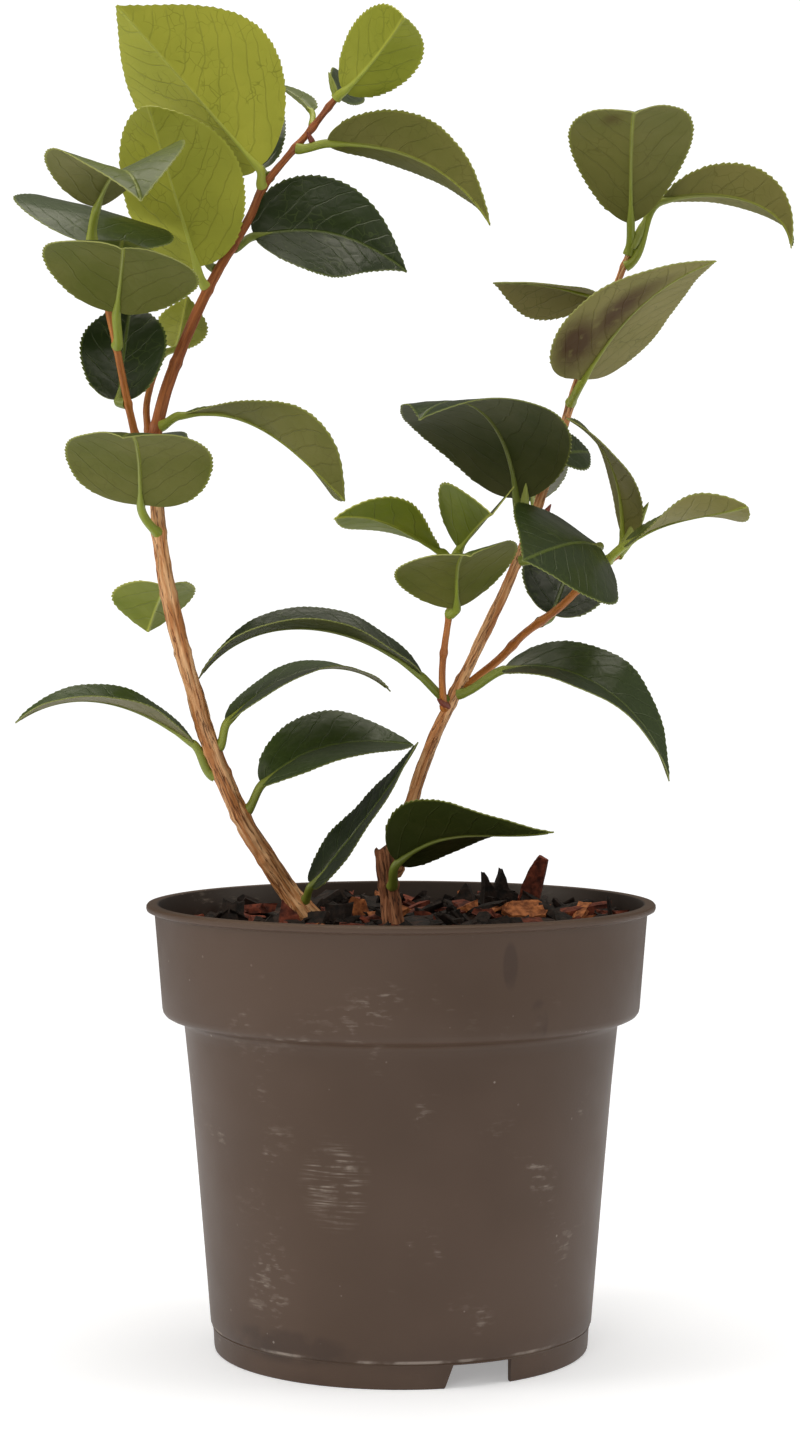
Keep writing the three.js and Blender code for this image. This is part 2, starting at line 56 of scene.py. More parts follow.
NOTCH_WIDTH, NOTCH_HEIGHT, NOTCH_SLANT, NOTCH_DEPTH = 21, 6.6, 3, 20
FOOT_RADIUS = 0.0552
FLOOR_MIDDLE, FLOOR_CUT = 0.0078, 0.006
DRAIN_COUNT, DRAIN_RADIUS, DRAIN_RING = 6, 4.5, 41
SEAM_HEIGHT = 0.0078
# Marks on the wall: the middle and half axes of each, in metres
RUBBED = (-0.0185, -0.0585, 0.058), (0.012, 0.03, 0.016)
UPPER_STAIN = (0.0300, -0.066, 0.1195), (0.0024, 0.02, 0.0075)
LOWER_STAIN = (0.0380, -0.060, 0.1035), (0.0030, 0.02, 0.0070)
DIRT = (-0.0330, -0.0450, 0.0100), (0.026, 0.03, 0.006)
# The wall's inner radius in mm: at height 0, and how much it gains over each metre
WALL_FOOT, WALL_SLOPE = 61.7, 77.5


def deselect():
    if bpy.context.mode != "OBJECT":
        bpy.ops.object.mode_set(mode="OBJECT")
    bpy.ops.object.select_all(action="DESELECT")


def only(piece):
    deselect()
    piece.select_set(True)
    bpy.context.view_layer.objects.active = piece


def turned(name, outline, sides):
    """Draws a ring of edges up and in from one radius and height to the next, and fills both ends."""
    deselect()
    radius, height = outline[0]
    bpy.ops.mesh.primitive_circle_add(vertices=sides, radius=radius * MM, location=(0, 0, height * MM))
    piece = bpy.context.object
    piece.name = piece.data.name = name
    bpy.ops.object.mode_set(mode="EDIT")
    bpy.ops.mesh.select_all(action="SELECT")
    for r, z in outline[1:]:
        bpy.ops.mesh.extrude_edges_move(TRANSFORM_OT_translate={"value": (0, 0, (z - height) * MM)})
        bpy.ops.transform.resize(value=(r / radius, r / radius, 1), center_override=(0, 0, z * MM))
        radius, height = r, z
    bpy.ops.mesh.select_all(action="SELECT")
    bpy.ops.mesh.fill_holes(sides=0)
    bpy.ops.mesh.normals_make_consistent(inside=False)
    bpy.ops.object.mode_set(mode="OBJECT")
    bpy.ops.object.transform_apply()
    return piece


def cut(piece, cutter):
    modifier = piece.modifiers.new("cut", "BOOLEAN")
    modifier.operation, modifier.solver, modifier.object = "DIFFERENCE", "EXACT", cutter
    only(piece)
    bpy.ops.object.modifier_apply(modifier="cut")
    bpy.data.objects.remove(cutter)


def smooth(piece, degrees):
    only(piece)
    bpy.ops.object.shade_smooth_by_angle(angle=math.radians(degrees))


def finished(piece, node, slot, *materials):
    """Gives a piece its materials and puts it in place of its solid, on the plant's one body."""
    if materials:
        piece.data.materials.clear()
        for material in materials:
            piece.data.materials.append(material)
    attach(piece, "root")
    for each in [node] if isinstance(node, str) else node:
        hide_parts(each)


def colour(code):
    """A colour in hex, as the shader's linear red, green and blue."""
    parts = [int(code[i:i + 2], 16) / 255 for i in (1, 3, 5)]
    return (*[p / 12.92 if p <= 0.04045 else ((p + 0.055) / 1.055) ** 2.4 for p in parts], 1.0)


class Wire:
    """A shader socket on which sums are written as on a number."""

    def __init__(self, tree, socket=None):
        self.tree, self.socket = tree, socket

    def node(self, kind, settings, sockets, output=0):
        made = self.tree.nodes.new("ShaderNode" + kind)
        for key, value in settings.items():
            setattr(made, key, value)
        for key, value in sockets.items():
            if isinstance(value, Wire):
                self.tree.links.new(value.socket, made.inputs[key])
            else:
                made.inputs[key].default_value = value
        return Wire(self.tree, made.outputs[output])

    def maths(self, operation, *values):
        return self.node("Math", {"operation": operation}, dict(enumerate(values)))

    def __add__(self, other):
        return self.maths("ADD", self, other)

    def __sub__(self, other):
        return self.maths("SUBTRACT", self, other)

    def __rsub__(self, other):
        return self.maths("SUBTRACT", other, self)

    def __mul__(self, other):
        return self.maths("MULTIPLY", self, other)

    def __truediv__(self, other):
        return self.maths("DIVIDE", self, other)

    def __abs__(self):
        return self.maths("ABSOLUTE", self)

    __radd__, __rmul__ = __add__, __mul__


def new_finish(name, roughness, specular=0.5):
    material = bpy.data.materials.new(name)
    material.use_nodes = True
    shader = material.node_tree.nodes["Principled BSDF"]
    shader.inputs["Roughness"].default_value = roughness
    shader.inputs["Specular IOR Level"].default_value = specular
    return material, shader, Wire(material.node_tree)


def feed(shader, socket, wire):
    wire.tree.links.new(wire.socket, shader.inputs[socket])


def place_on(wire):
    return wire.node("TexCoord", {}, {}, "Object")


def axis(vector, name):
    return vector.node("SeparateXYZ", {}, {0: vector}, name)


def mixed(mask, a, b):
    return mask.node("Mix", {"data_type": "RGBA"}, {0: mask, 6: a, 7: b}, 2)


def step(value, low, high):
    return value.node("MapRange", {"interpolation_type": "SMOOTHSTEP"},
                      {"Value": value, "From Min": low, "From Max": high})


def clouds(vector, scale, detail=3.0, stretch=(1, 1, 1)):
    """Soft noise whose lumps are 1 / scale long, drawn out by a stretch on each axis."""
    drawn = vector.node("Mapping", {}, {"Vector": vector, "Scale": tuple(scale / s for s in stretch)})
    return vector.node("TexNoise", {}, {"Vector": drawn, "Scale": 1.0, "Detail": detail})


def patch(vector, centre, size):
    """1 in the middle of an ellipsoid of these half axes, in metres, falling to 0 at its skin."""
    off = vector.node("VectorMath", {"operation": "SUBTRACT"}, {0: vector, 1: centre})
    off = vector.node("VectorMath", {"operation": "DIVIDE"}, {0: off, 1: size})
    return 1 - vector.node("VectorMath", {"operation": "LENGTH"}, {0: off}, "Value")


def bumped(shader, height, depth, strength=1.0):
    settings = {"Strength": strength, "Distance": depth, "Height": height}
    feed(shader, "Normal", height.node("Bump", {}, settings))


pot_plastic, shader, wire = new_finish("pot_plastic", 0.5, 0.35)
place = place_on(wire)
height = axis(place, "Z")
tone = mixed(step(clouds(place, 16), 0.35, 0.65), colour("#483629"), colour("#4f3d31"))
hairs = step(clouds(place, 75, 5, (1, 1, 0.05)), 0.44, 0.68)
rubbed = step(patch(place, *RUBBED), 0.05, 0.75)
rubbed = rubbed * step(clouds(place, 210, 5), 0.34, 0.66)
scuffs = step(clouds(place, 38, 3), 0.58, 0.72) * step(clouds(place, 240, 4, (1, 1, 0.4)), 0.5, 0.7) * 0.4
dots = wire.node("TexVoronoi", {"feature": "F1"}, {"Vector": place, "Scale": 210.0}, "Distance")
specks = step(dots, 0.10, 0.05) * step(clouds(place, 90, 2), 0.56, 0.66)
seam = step(abs(height - SEAM_HEIGHT), 0.0007, 0.0002) * step(clouds(place, 70, 5), 0.47, 0.6)
marks = rubbed * hairs * 0.75 + hairs * scuffs + scuffs * 0.3 + specks * 0.5 + seam * 0.6
pale = wire.maths("MINIMUM", marks, 1.0)
stains = step(patch(place, *UPPER_STAIN), 0.0, 0.3) + step(patch(place, *LOWER_STAIN), 0.0, 0.3)
dirt = step(patch(place, *DIRT), 0.0, 0.4)
foot = step(height, 0.020, 0.001) * step(clouds(place, 45, 4), 0.4, 0.65)
dark = (stains + dirt) * step(clouds(place, 130, 3), 0.3, 0.55) * 0.5 + foot * 0.3
tone = mixed(wire.maths("MINIMUM", dark, 1.0), tone, colour("#33241c"))
# Painted shade: the inner face of the wall, from about 106 mm up to the rim where it shows above the mulch,
# is darkened to near black for the shadow inside the pot.
x, y = axis(place, "X"), axis(place, "Y")
radius = wire.maths("SQRT", x * x + y * y)
painted_inner_shade = step(radius * 1000 - height * WALL_SLOPE, WALL_FOOT + 0.2, WALL_FOOT - 0.2)
painted_inner_shade = painted_inner_shade * step(height, 0.104, 0.108) * 0.8
tone = mixed(painted_inner_shade, tone, colour("#1d1410"))
feed(shader, "Base Color", mixed(pale, tone, colour("#a3988e")))
feed(shader, "Roughness", clouds(place, 60) * 0.14 + 0.42 + pale * 0.15)
bumped(shader, clouds(place, 900, 2, (1, 1, 0.3)) * 0.4 + clouds(place, 55, 2), 0.0002, 0.35)

pot = turned("nursery_pot", POT_OUTLINE, POT_SIDES)
for angle in NOTCHES:
    deselect()
    bpy.ops.mesh.primitive_cube_add(size=1)
    notch = bpy.context.object
    for v in notch.data.vertices:
        side, up = (1 if v.co.x > 0 else -1), v.co.z > 0
        across = side * NOTCH_WIDTH / 2 + (NOTCH_SLANT if up and side < 0 else 0)
        v.co = (across * MM, v.co.y * NOTCH_DEPTH * MM - FOOT_RADIUS, (NOTCH_HEIGHT if up else -2) * MM)
    notch.data.transform(Matrix.Rotation(math.radians(angle), 4, "Z"))
    cut(pot, notch)
for i in range(DRAIN_COUNT):
    deselect()
    turn = math.radians(i * 360 / DRAIN_COUNT)
    spot = (-DRAIN_RING * math.sin(turn) * MM, DRAIN_RING * math.cos(turn) * MM, FLOOR_MIDDLE)
    bpy.ops.mesh.primitive_cylinder_add(
        vertices=32, radius=DRAIN_RADIUS * MM, depth=FLOOR_CUT, location=spot)
    cut(pot, bpy.context.object)
smooth(pot, 32)
finished(pot, "nursery_pot", "pot_plastic", pot_plastic)

# ---------------------------------------------------------------- root ball
# The block of dark peaty compost that fills the pot, pressed to the shape of its wall and hidden
# under the mulch except through the holes in the floor.
BALL_OUTLINE = [(54.4, 8.8), (62.3, 98.2), (68.6, 100.2), (69.9, 116)]
BALL_SIDES = 96

compost, shader, wire = new_finish("compost", 0.95, 0.2)
place = place_on(wire)
crumbs = clouds(place, 420, 5)
feed(shader, "Base Color", mixed(step(crumbs, 0.35, 0.7), colour("#1c130e"), colour("#4a3526")))
bumped(shader, crumbs, 0.0012)

ball = turned("root_ball", BALL_OUTLINE, BALL_SIDES)
finished(ball, "root_ball", "compost", compost)

# ---------------------------------------------------------------- bark mulch
# A layer of composted bark: a dark crumbly bed, and on it some hundreds of split chips in black,
# red-brown and tan, thrown in loose, with three larger pieces standing on the right.
BED_FOOT, BED_TOP, BED_SIDES = (69.9, 116.3), 124.4, 120
WALL_INSIDE = 70.2
BED_RINGS = [WALL_INSIDE, 68, 64, 60, 55, 50, 45, 40, 35, 30, 25, 20, 15, 10, 6, 3, 1]
# Where the bed is raised and where it is sunk: the middle, the height and the spread
RAISED, SUNKEN = (26, 18, 2.6, 900), (-48, 6, 2.2, 700)
CHIP_SHAPES, CHIP_COUNT, CHIP_REACH = 6, 380, 66.5
CHIP_LENGTHS, CHIP_WIDTHS, CHIP_THICKS = (8, 15), (3.5, 7.5), (1.2, 2.6)
CHIP_MIX = {"black": 9, "red": 3, "tan": 0.8}
# The stems' feet and the flat chip: the middle and the radius that loose chips leave free
KEPT_CLEAR = [(-27, 6, 6), (-2, -12, 5.5), (37, 6, 8)]


def mound(x, y, middle_x, middle_y, high, spread):
    return high * math.exp(-((x - middle_x) ** 2 + (y - middle_y) ** 2) / spread)


def heap(x, y):
    """Height of the bed over its own level, in mm: higher behind the stump and on the right."""
    lumps = noise.noise(Vector((x / 11, y / 11, 3.1))) * 1.7
    lumps += noise.noise(Vector((x / 4, y / 4, 9.7))) * 0.9
    return lumps + (mound(x, y, *RAISED) - mound(x, y, *SUNKEN))


bed = turned("mulch_bed", [BED_FOOT] + [(r, BED_TOP) for r in BED_RINGS], BED_SIDES)
for v in bed.data.vertices:
    if v.co.z > (BED_FOOT[1] + BED_TOP) / 2 * MM:
        v.co.z += heap(v.co.x / MM, v.co.y / MM) * MM
mulch_dark, shader, wire = new_finish("mulch_dark", 0.85, 0.3)
place = place_on(wire)
crumbs = step(clouds(place, 300, 4), 0.35, 0.7)
feed(shader, "Base Color", mixed(crumbs, colour("#120c0a"), colour("#3d2a22")))
feed(shader, "Roughness", clouds(place, 200) * 0.4 + 0.5)
bumped(shader, clouds(place, 700, 4), 0.0008)
smooth(bed, 60)
finished(bed, "bark_mulch", "mulch", mulch_dark)


def bark_finish(name, low, high):
    made, shader, wire = new_finish(name, 0.8, 0.3)
    place = place_on(wire)
    grain = clouds(place, 500, 4)
    feed(shader, "Base Color", mixed(step(grain, 0.3, 0.7), colour(low), colour(high)))
    bumped(shader, grain, 0.0006)
    return made


chip_finishes = {
    "black": bark_finish("chip_black", "#0b0807", "#2b1f1a"),
    "red": bark_finish("chip_red", "#3c1710", "#7d3d2a"),
    "tan": bark_finish("chip_tan", "#6b3a1e", "#b87243"),
}
chance = random.Random(11)
chip_kinds = []
for _ in range(CHIP_SHAPES):
    deselect()
    bpy.ops.mesh.primitive_cube_add(size=1)
    kind = bpy.context.object
    bpy.ops.object.mode_set(mode="EDIT")
    bpy.ops.mesh.subdivide(number_cuts=1)
    bpy.ops.object.mode_set(mode="OBJECT")
    length, width, thick = (chance.uniform(*sizes) for sizes in (CHIP_LENGTHS, CHIP_WIDTHS, CHIP_THICKS))
    for v in kind.data.vertices:
        taper = 1 - 0.55 * (v.co.x + 0.5) * chance.uniform(0.5, 1.2)
        v.co = (v.co.x * length * MM, v.co.y * width * taper * MM, v.co.z * thick * MM)
        level = [chance.uniform(-0.9, 0.9) * MM for _ in range(2)]
        v.co += Vector(level + [chance.uniform(-0.45, 0.45) * MM])
    chip_kinds.append(kind)
heaps = {tint: [] for tint in CHIP_MIX}
for _ in range(CHIP_COUNT):
    reach, turn = CHIP_REACH * math.sqrt(chance.random()), chance.uniform(0, 2 * math.pi)
    x, y = reach * math.cos(turn), reach * math.sin(turn)
    if any(math.hypot(x - a, y - b) < clear for a, b, clear in KEPT_CLEAR):
        continue
    chip = chance.choice(chip_kinds).copy()
    chip.data = chip.data.copy()
    bpy.context.collection.objects.link(chip)
    size = min(chance.uniform(0.45, 1.15), (WALL_INSIDE - reach) / 6)
    tilt = chance.gauss(0, 0.3) if chance.random() < 0.85 else chance.gauss(0, 0.9)
    lift = BED_TOP + heap(x, y) + chance.uniform(-0.4, 1.6)
    chip.data.transform(Matrix.Translation((x * MM, y * MM, lift * MM))
                        @ Matrix.Rotation(chance.uniform(0, 6.3), 4, "Z")
                        @ Matrix.Rotation(tilt, 4, "Y")
                        @ Matrix.Rotation(chance.gauss(0, 0.35), 4, "X")
                        @ Matrix.Scale(max(size, 0.3), 4))
    heaps[chance.choices(list(CHIP_MIX), list(CHIP_MIX.values()))[0]].append(chip)
for kind in chip_kinds:
    bpy.data.objects.remove(kind)
for tint, chips in heaps.items():
    deselect()
    for chip in chips:
        chip.select_set(True)
    bpy.context.view_layer.objects.active = chips[0]
    bpy.ops.object.join()
    chips[0].name = chips[0].data.name = tint + "_chips"
    finished(chips[0], [], "mulch", chip_finishes[tint])


def split_chip(name, outline, thick, tint, turns, spot, node):
    """One split piece: an outline in mm, drawn out to its thickness and roughened along the grain."""
    deselect()
    bpy.ops.mesh.primitive_circle_add(vertices=len(outline), radius=1, fill_type="NGON")
    chip = bpy.context.object
    chip.name = chip.data.name = name
    for v, (x, y) in zip(chip.data.vertices, outline):
        v.co = (x * MM, y * MM, 0)
    bpy.ops.object.mode_set(mode="EDIT")
    bpy.ops.mesh.select_all(action="SELECT")
    bpy.ops.mesh.extrude_region_move(TRANSFORM_OT_translate={"value": (0, 0, thick * MM)})
    bpy.ops.mesh.select_all(action="SELECT")
    bpy.ops.mesh.quads_convert_to_tris()
    bpy.ops.mesh.subdivide(number_cuts=3)
    bpy.ops.mesh.normals_make_consistent(inside=False)
    bpy.ops.object.mode_set(mode="OBJECT")
    for v in chip.data.vertices:
        p = v.co / MM
        ridge = noise.noise(Vector((p.x * 1.3, p.y * 0.25, p.z * 1.3)))
        v.co += Vector((ridge * 0.5, noise.noise(p * 0.8) * 0.5, ridge * 0.7)) * MM
    roll, pitch, heading = (math.radians(turn) for turn in turns)
    chip.data.transform(Matrix.Translation([c * MM for c in spot])
                        @ Matrix.Rotation(heading, 4, "Z")
                        @ Matrix.Rotation(pitch, 4, "Y")
                        @ Matrix.Rotation(roll, 4, "X"))
    smooth(chip, 25)
    finished(chip, node, "bark_chip" if node else "mulch", chip_finishes[tint])


split_chip("upright_bark_chip", [(-3, -2), (3, -2), (5, 8), (7, 17), (4.5, 18.5), (2, 15), (-1, 9)], 3.2,
           "red", (90, 0, -15), (38, 25, 125), "upright_bark_chip")
split_chip("pointed_bark_chip", [(-5, -2), (5, -2), (6, 6), (3, 8), (1, 14), (-1.5, 7), (-5, 13)], 3.2,
           "black", (90, 0, 20), (29, 30, 125), "pointed_bark_chip")
split_chip("flat_bark_chip", [(-7, 0), (-5, -3), (1, -4), (6, -3), (7.5, 1), (4, 3.5), (-4, 3)], 3.0,
           "tan", (38, 0, 0), (37, 10, 126.5), "flat_bark_chip")
split_chip("left_tan_chip", [(-3, 0), (1, -2), (4, 0), (3, 4), (-1, 5)], 2.6,
           "tan", (75, 0, 10), (-14, 22, 125.5), [])
split_chip("left_red_chip", [(-4, -1), (3, -1), (1, 2), (-3, 6)], 2,
           "red", (80, 0, 0), (-32, -2, 126), [])
split_chip("dark_shard", [(-5, -2), (4, -2), (3, 6), (0, 10), (-3, 5)], 2.5,
           "black", (70, 0, -30), (19, 20, 125), [])
split_chip("long_red_chip", [(-9, -2), (8, -1.5), (9, 1), (-7, 2)], 2.2,
           "red", (10, -8, 20), (55, 12, 127), [])

# ---------------------------------------------------------------- stems and boughs
# Two stems that have gone woody, with tan bark split into long flakes over dark cracks, the stub
# that the right one was cut back to, and their smooth red-brown shoots. Each tapers along one curve.
GAP = 0.3
BARK_STEP = 0.42
ROOT_FLARE, FLARE_HEIGHT = 0.3, 9
FORK_SWELL, SWELL_LENGTH, FORK_SUNK, SOIL_SUNK = 0.28, 1.6, 1.4, 3
SCAR_RING, SCAR_HEIGHT = 0.28, 1.1
FLAKE_RISE, CRACK_DEPTH, CRACK_WIDTH = 0.2, 0.34, 0.075
WOOD_SIDES, SHOOT_SIDES, SHOOT_THICK = 48, 28, 1.6
LIMBS = {}


def unit(v):
    return v / np.linalg.norm(v, axis=-1, keepdims=True)


def flowing(points, gap):
    """A centripetal curve through the points, as points about a gap apart, in mm."""
    p = np.array(points, float)
    p = np.vstack([2 * p[0] - p[1], p, 2 * p[-1] - p[-2]])
    t = np.linspace(0, 1, 40, endpoint=False)[:, None]
    pieces = []
    for a, b, c, d in zip(p, p[1:], p[2:], p[3:]):
        u, v, w = (np.linalg.norm(q) ** 0.5 for q in (b - a, c - b, d - c))
        leave = ((b - a) / u - (c - a) / (u + v) + (c - b) / v) * v
        enter = ((c - b) / v - (d - b) / (v + w) + (d - c) / w) * v
        turn = 3 * (c - b) - 2 * leave - enter
        pieces.append(b + leave * t + turn * t**2 + (2 * (b - c) + leave + enter) * t**3)
    dense = np.vstack([*pieces, p[-2:-1]])
    run = np.append(0, np.cumsum(np.linalg.norm(np.diff(dense, axis=0), axis=1)))
    even = np.linspace(0, run[-1], max(int(run[-1] / gap), 8) + 1)
    return np.column_stack([np.interp(even, run, dense[:, i]) for i in range(3)])


def tangents(path):
    return unit(np.gradient(path, axis=0))


def leaving(limb, at, target):
    """The point GAP outside a limb's bark at a height, towards a target, and the way out."""
    path, radii = LIMBS[limb]
    along = tangents(path)
    if at == "tip":
        return path[-1] + along[-1] * GAP, along[-1]
    i = int(np.argmax(path[:, 2] >= at))
    out = np.array(target, float) - path[i]
    out = unit(out - out @ along[i] * along[i])
    return path[i] + out * (radii[i] + GAP), out


def frames(path):
    """Two directions across a path at each of its points, which turn with it and never twist."""
    along = tangents(path)
    side = np.cross(along[0], (0.3, 1, 0.2))
    sides = []
    for way in along:
        side = unit(side - side @ way * way)
        sides.append(side)
    return np.array(sides), np.cross(along, sides)


def read(rows, key, kind, width=1):
    """One value, or a row of them, from each item of a mesh's list."""
    values = np.empty(len(rows) * width, kind)
    rows.foreach_get(key, values)
    return values.reshape(-1, width) if width > 1 else values


def set_points(piece, points):
    piece.data.vertices.foreach_set("co", (points * MM).astype(np.float32).ravel())
    piece.data.update()


def grid(name, along, across):
    """A new grid and, for each of its points, its row along and its column across."""
    deselect()
    bpy.ops.mesh.primitive_grid_add(x_subdivisions=along, y_subdivisions=across, size=1)
    piece = bpy.context.object
    piece.name = piece.data.name = name
    places = read(piece.data.vertices, "co", np.float32, 3) + 0.5
    return piece, np.rint(places[:, 0] * along).astype(int), np.rint(places[:, 1] * across).astype(int)


def tube(name, path, radii, sides, relief=None):
    """A grid rolled round a path, sewn along its seam and filled at both ends. relief(angle, run)
    is added to the radius, and the attribute grain holds each point's place on the straightened limb."""
    piece, i, j = grid(name, len(path) - 1, sides)
    turn = -2 * np.pi * (j % sides) / sides
    run = np.append(0, np.cumsum(np.linalg.norm(np.diff(path, axis=0), axis=1)))
    radius = radii[i]
    if relief:
        radius = radius + relief(turn, run[i], radii[i], path[i, 2])
    n, b = frames(path)
    ring = np.cos(turn)[:, None] * n[i] + np.sin(turn)[:, None] * b[i]
    set_points(piece, path[i] + ring * radius[:, None])
    grain = np.column_stack([np.cos(turn) * radii[i], np.sin(turn) * radii[i], run[i]])
    made = piece.data.attributes.new("grain", "FLOAT_VECTOR", "POINT")
    made.data.foreach_set("vector", grain.astype(np.float32).ravel())
    bpy.ops.object.mode_set(mode="EDIT")
    bpy.ops.mesh.select_all(action="SELECT")
    bpy.ops.mesh.remove_doubles(threshold=1e-7)
    bpy.ops.mesh.fill_holes(sides=0)
    bpy.ops.object.mode_set(mode="OBJECT")
    return piece


def noise_at(points):
    return np.array([noise.noise(Vector(p)) for p in points])


def bark_relief(rough, nodes):
    """Long cracks between raised flakes, and a low ring at each height where a leaf has sat."""
    def relief(turn, run, radius, height):
        x, y = np.cos(turn) * radius, np.sin(turn) * radius
        rings = sum(SCAR_RING * np.exp(-((height - node) / SCAR_HEIGHT) ** 2) for node in nodes)
        fine = noise_at(np.column_stack([x * 1.6, y * 1.6, run * 0.5]))
        if rough == 0:
            return rings + 0.05 * fine
        split = noise_at(np.column_stack([x * 0.75, y * 0.75, run * 0.075 + 5]))
        flake = noise_at(np.column_stack([x * 0.5, y * 0.5, run * 0.11 + 31]))
        cracks = CRACK_DEPTH * np.exp(-(split / CRACK_WIDTH) ** 2)
        return rings + rough * (FLAKE_RISE * np.tanh(flake * 5) - cracks + 0.1 * fine)
    return relief


def limb(name, grows_from, points, thick, thin, finish, slot, rough, nodes, ragged=0):
    """Grows one tapering limb from the soil or out of another limb, and sets it in its solid's place."""
    path, out = np.array(points, float), None
    if grows_from:
        start, out = leaving(*grows_from, points[0])
        path = np.vstack([start, path])
    path = flowing(path, BARK_STEP)
    share = np.linspace(0, 1, len(path))
    radii = thick + (thin - thick) * share
    if not grows_from:
        rise = share * len(path) * BARK_STEP / FLARE_HEIGHT
        radii = radii * (1 + ROOT_FLARE * np.clip(1 - rise, 0, None))
    LIMBS[name] = (path, radii)
    if out is not None:
        path = np.vstack([path[0] - out * FORK_SUNK, path])
        radii = np.append(radii[0], radii)
        swell = np.arange(len(path)) * BARK_STEP
        radii = radii * (1 + FORK_SWELL * np.exp(-(swell / SWELL_LENGTH) ** 2))
    else:
        path = np.vstack([path[0] - (0, 0, SOIL_SUNK), path])
        radii = np.append(radii[0], radii)
    sides = WOOD_SIDES if thick > SHOOT_THICK else SHOOT_SIDES
    piece = tube(name, path, radii, sides, bark_relief(rough, nodes))
    if ragged:
        for v in piece.data.vertices:
            p = v.co / MM
            if p.z > path[-1, 2] - 2:
                v.co.z += ragged * noise.noise(Vector((p.x * 0.9, p.y * 0.9, 2))) * MM
    smooth(piece, 70)
    finished(piece, name, slot, finish)


def stored(wire, key, output="Fac"):
    """A value that the mesh holds at each of its points."""
    return wire.node("Attribute", {"attribute_name": key}, {}, output)


def bark(name, flake, body, crack, roughness, cracked):
    """A bark's finish: grain runs along the limb, with dark cracks and pale flakes."""
    made, shader, wire = new_finish(name, roughness, 0.4)
    grain = stored(wire, "grain", "Vector")
    long = clouds(grain, 0.9, 4, (1, 1, 12))
    short = clouds(grain, 1.7, 4, (1, 1, 3))
    tone = mixed(step(long, 0.36, 0.66), colour(body), colour(flake))
    lines = step(abs(clouds(grain, 0.75, 3, (1, 1, 14)) - 0.5), 0.028, 0.004) * 0.8 * cracked
    spots = step(short, 0.62, 0.78) * 0.4 * cracked
    tone = mixed(wire.maths("MAXIMUM", lines, spots), tone, colour(crack))
    feed(shader, "Base Color", tone)
    bumped(shader, short - lines, 0.0003, 0.6)
    return made


old_bark = bark("old_bark", "#e6b685", "#ba7a45", "#5c2d12", 0.6, 1.0)
stump_bark = bark("stump_bark", "#a06d4c", "#73452a", "#2a160d", 0.85, 1.0)
upper_bark = bark("upper_bark", "#b06a38", "#8c4a20", "#562a12", 0.42, 0.5)
shoot_bark = bark("shoot_bark", "#bf7a3a", "#9c5a20", "#683612", 0.4, 0.3)

limb("left_stem", None, [
    (-27, 6, 125.3), (-34, 5, 135), (-46, 2, 154), (-56, -1, 177), (-62, -3, 198), (-67.6, -5, 220),
    (-70.8, -6, 241), (-72.3, -5, 267),
], 3.1, 2, old_bark, "old_bark", 1, [130, 144, 157, 169, 176, 205, 222, 240, 250, 262])
limb("right_stump", None, [(-2, -12, 125.3), (-3, -12, 133), (-5, -12, 148)], 2.5, 3,
     stump_bark, "old_bark", 1.5, [137], 2.2)
limb("right_stem", ("right_stump", 141), [
    (1, -9, 154), (9, -5, 178), (17, -3, 195), (22, -1, 205), (30, 3, 222), (38, 7, 241), (46, 11, 264),
    (52, 13, 284), (62, 15, 309), (68, 14, 324),
], 2.1, 1, old_bark, "old_bark", 0.8, [160, 190, 193, 197, 232, 240, 262, 279, 307, 320])
limb("left_top_bough", ("left_stem", "tip"), [
    (-68, 0, 285), (-58, 5, 310), (-54, 7, 318), (-45, 11, 334), (-41, 12, 343), (-28, 14, 359),
    (-19, 13, 370),
], 1.95, 0.9, upper_bark, "young_bark", 0.25, [271, 290, 312, 325, 343, 355, 361, 367])
limb("left_front_shoot", ("left_stem", 255), [
    (-76, -11, 264), (-79, -14, 277), (-82, -20, 294), (-88, -28, 323),
], 1.2, 0.9, shoot_bark, "young_bark", 0, [268, 277, 293, 317])
limb("left_back_shoot", ("left_stem", 262), [(-75, 2, 276), (-74, 6, 284), (-71, 13, 294)],
     1.1, 0.9, shoot_bark, "young_bark", 0, [270])
limb("right_low_shoot", ("right_stem", 188), [(12, -11, 200), (14, -17, 217), (16, -16, 233)],
     1.05, 0.9, shoot_bark, "young_bark", 0, [205, 216, 230])
limb("right_side_shoot", ("right_stem", 196), [
    (29, 1, 203), (36, 4, 210), (48, 9, 219), (60, 11, 231), (65, 12, 234),
], 1.3, 1, shoot_bark, "young_bark", 0, [207, 214, 224, 232])

# ---------------------------------------------------------------- leaves
# Leathery evergreen blades, each on its own short stalk, finely toothed, glossy dark green above
# and matt olive below, with the year's newest still light yellow-green. The stalk runs on under the
# blade as its midrib. A blade arches, folds up from the midrib and turns about its length.
ALONG, ACROSS = 132, 20
BLADE_THICK = 0.32
STALK, STALK_SUNK, RIB_END = 1.3, 0.9, 0.965
STALK_SIDES, STALK_STEPS, RIB_STEPS = 10, 13, 56
VEIN_GAP, VEIN_SINK = 7.4, 0.06
PUCKER, WAVE, LEAST_HALF = 0.16, 1.1, 0.35
TOOTH, TOOTH_DEPTH = 1.7, 0.65
HABIT = {"rise": 10, "droop": 10, "sweep": 0, "twist": 0, "curl": 0, "early": 0.85, "round": 0.6, "fold": 8}


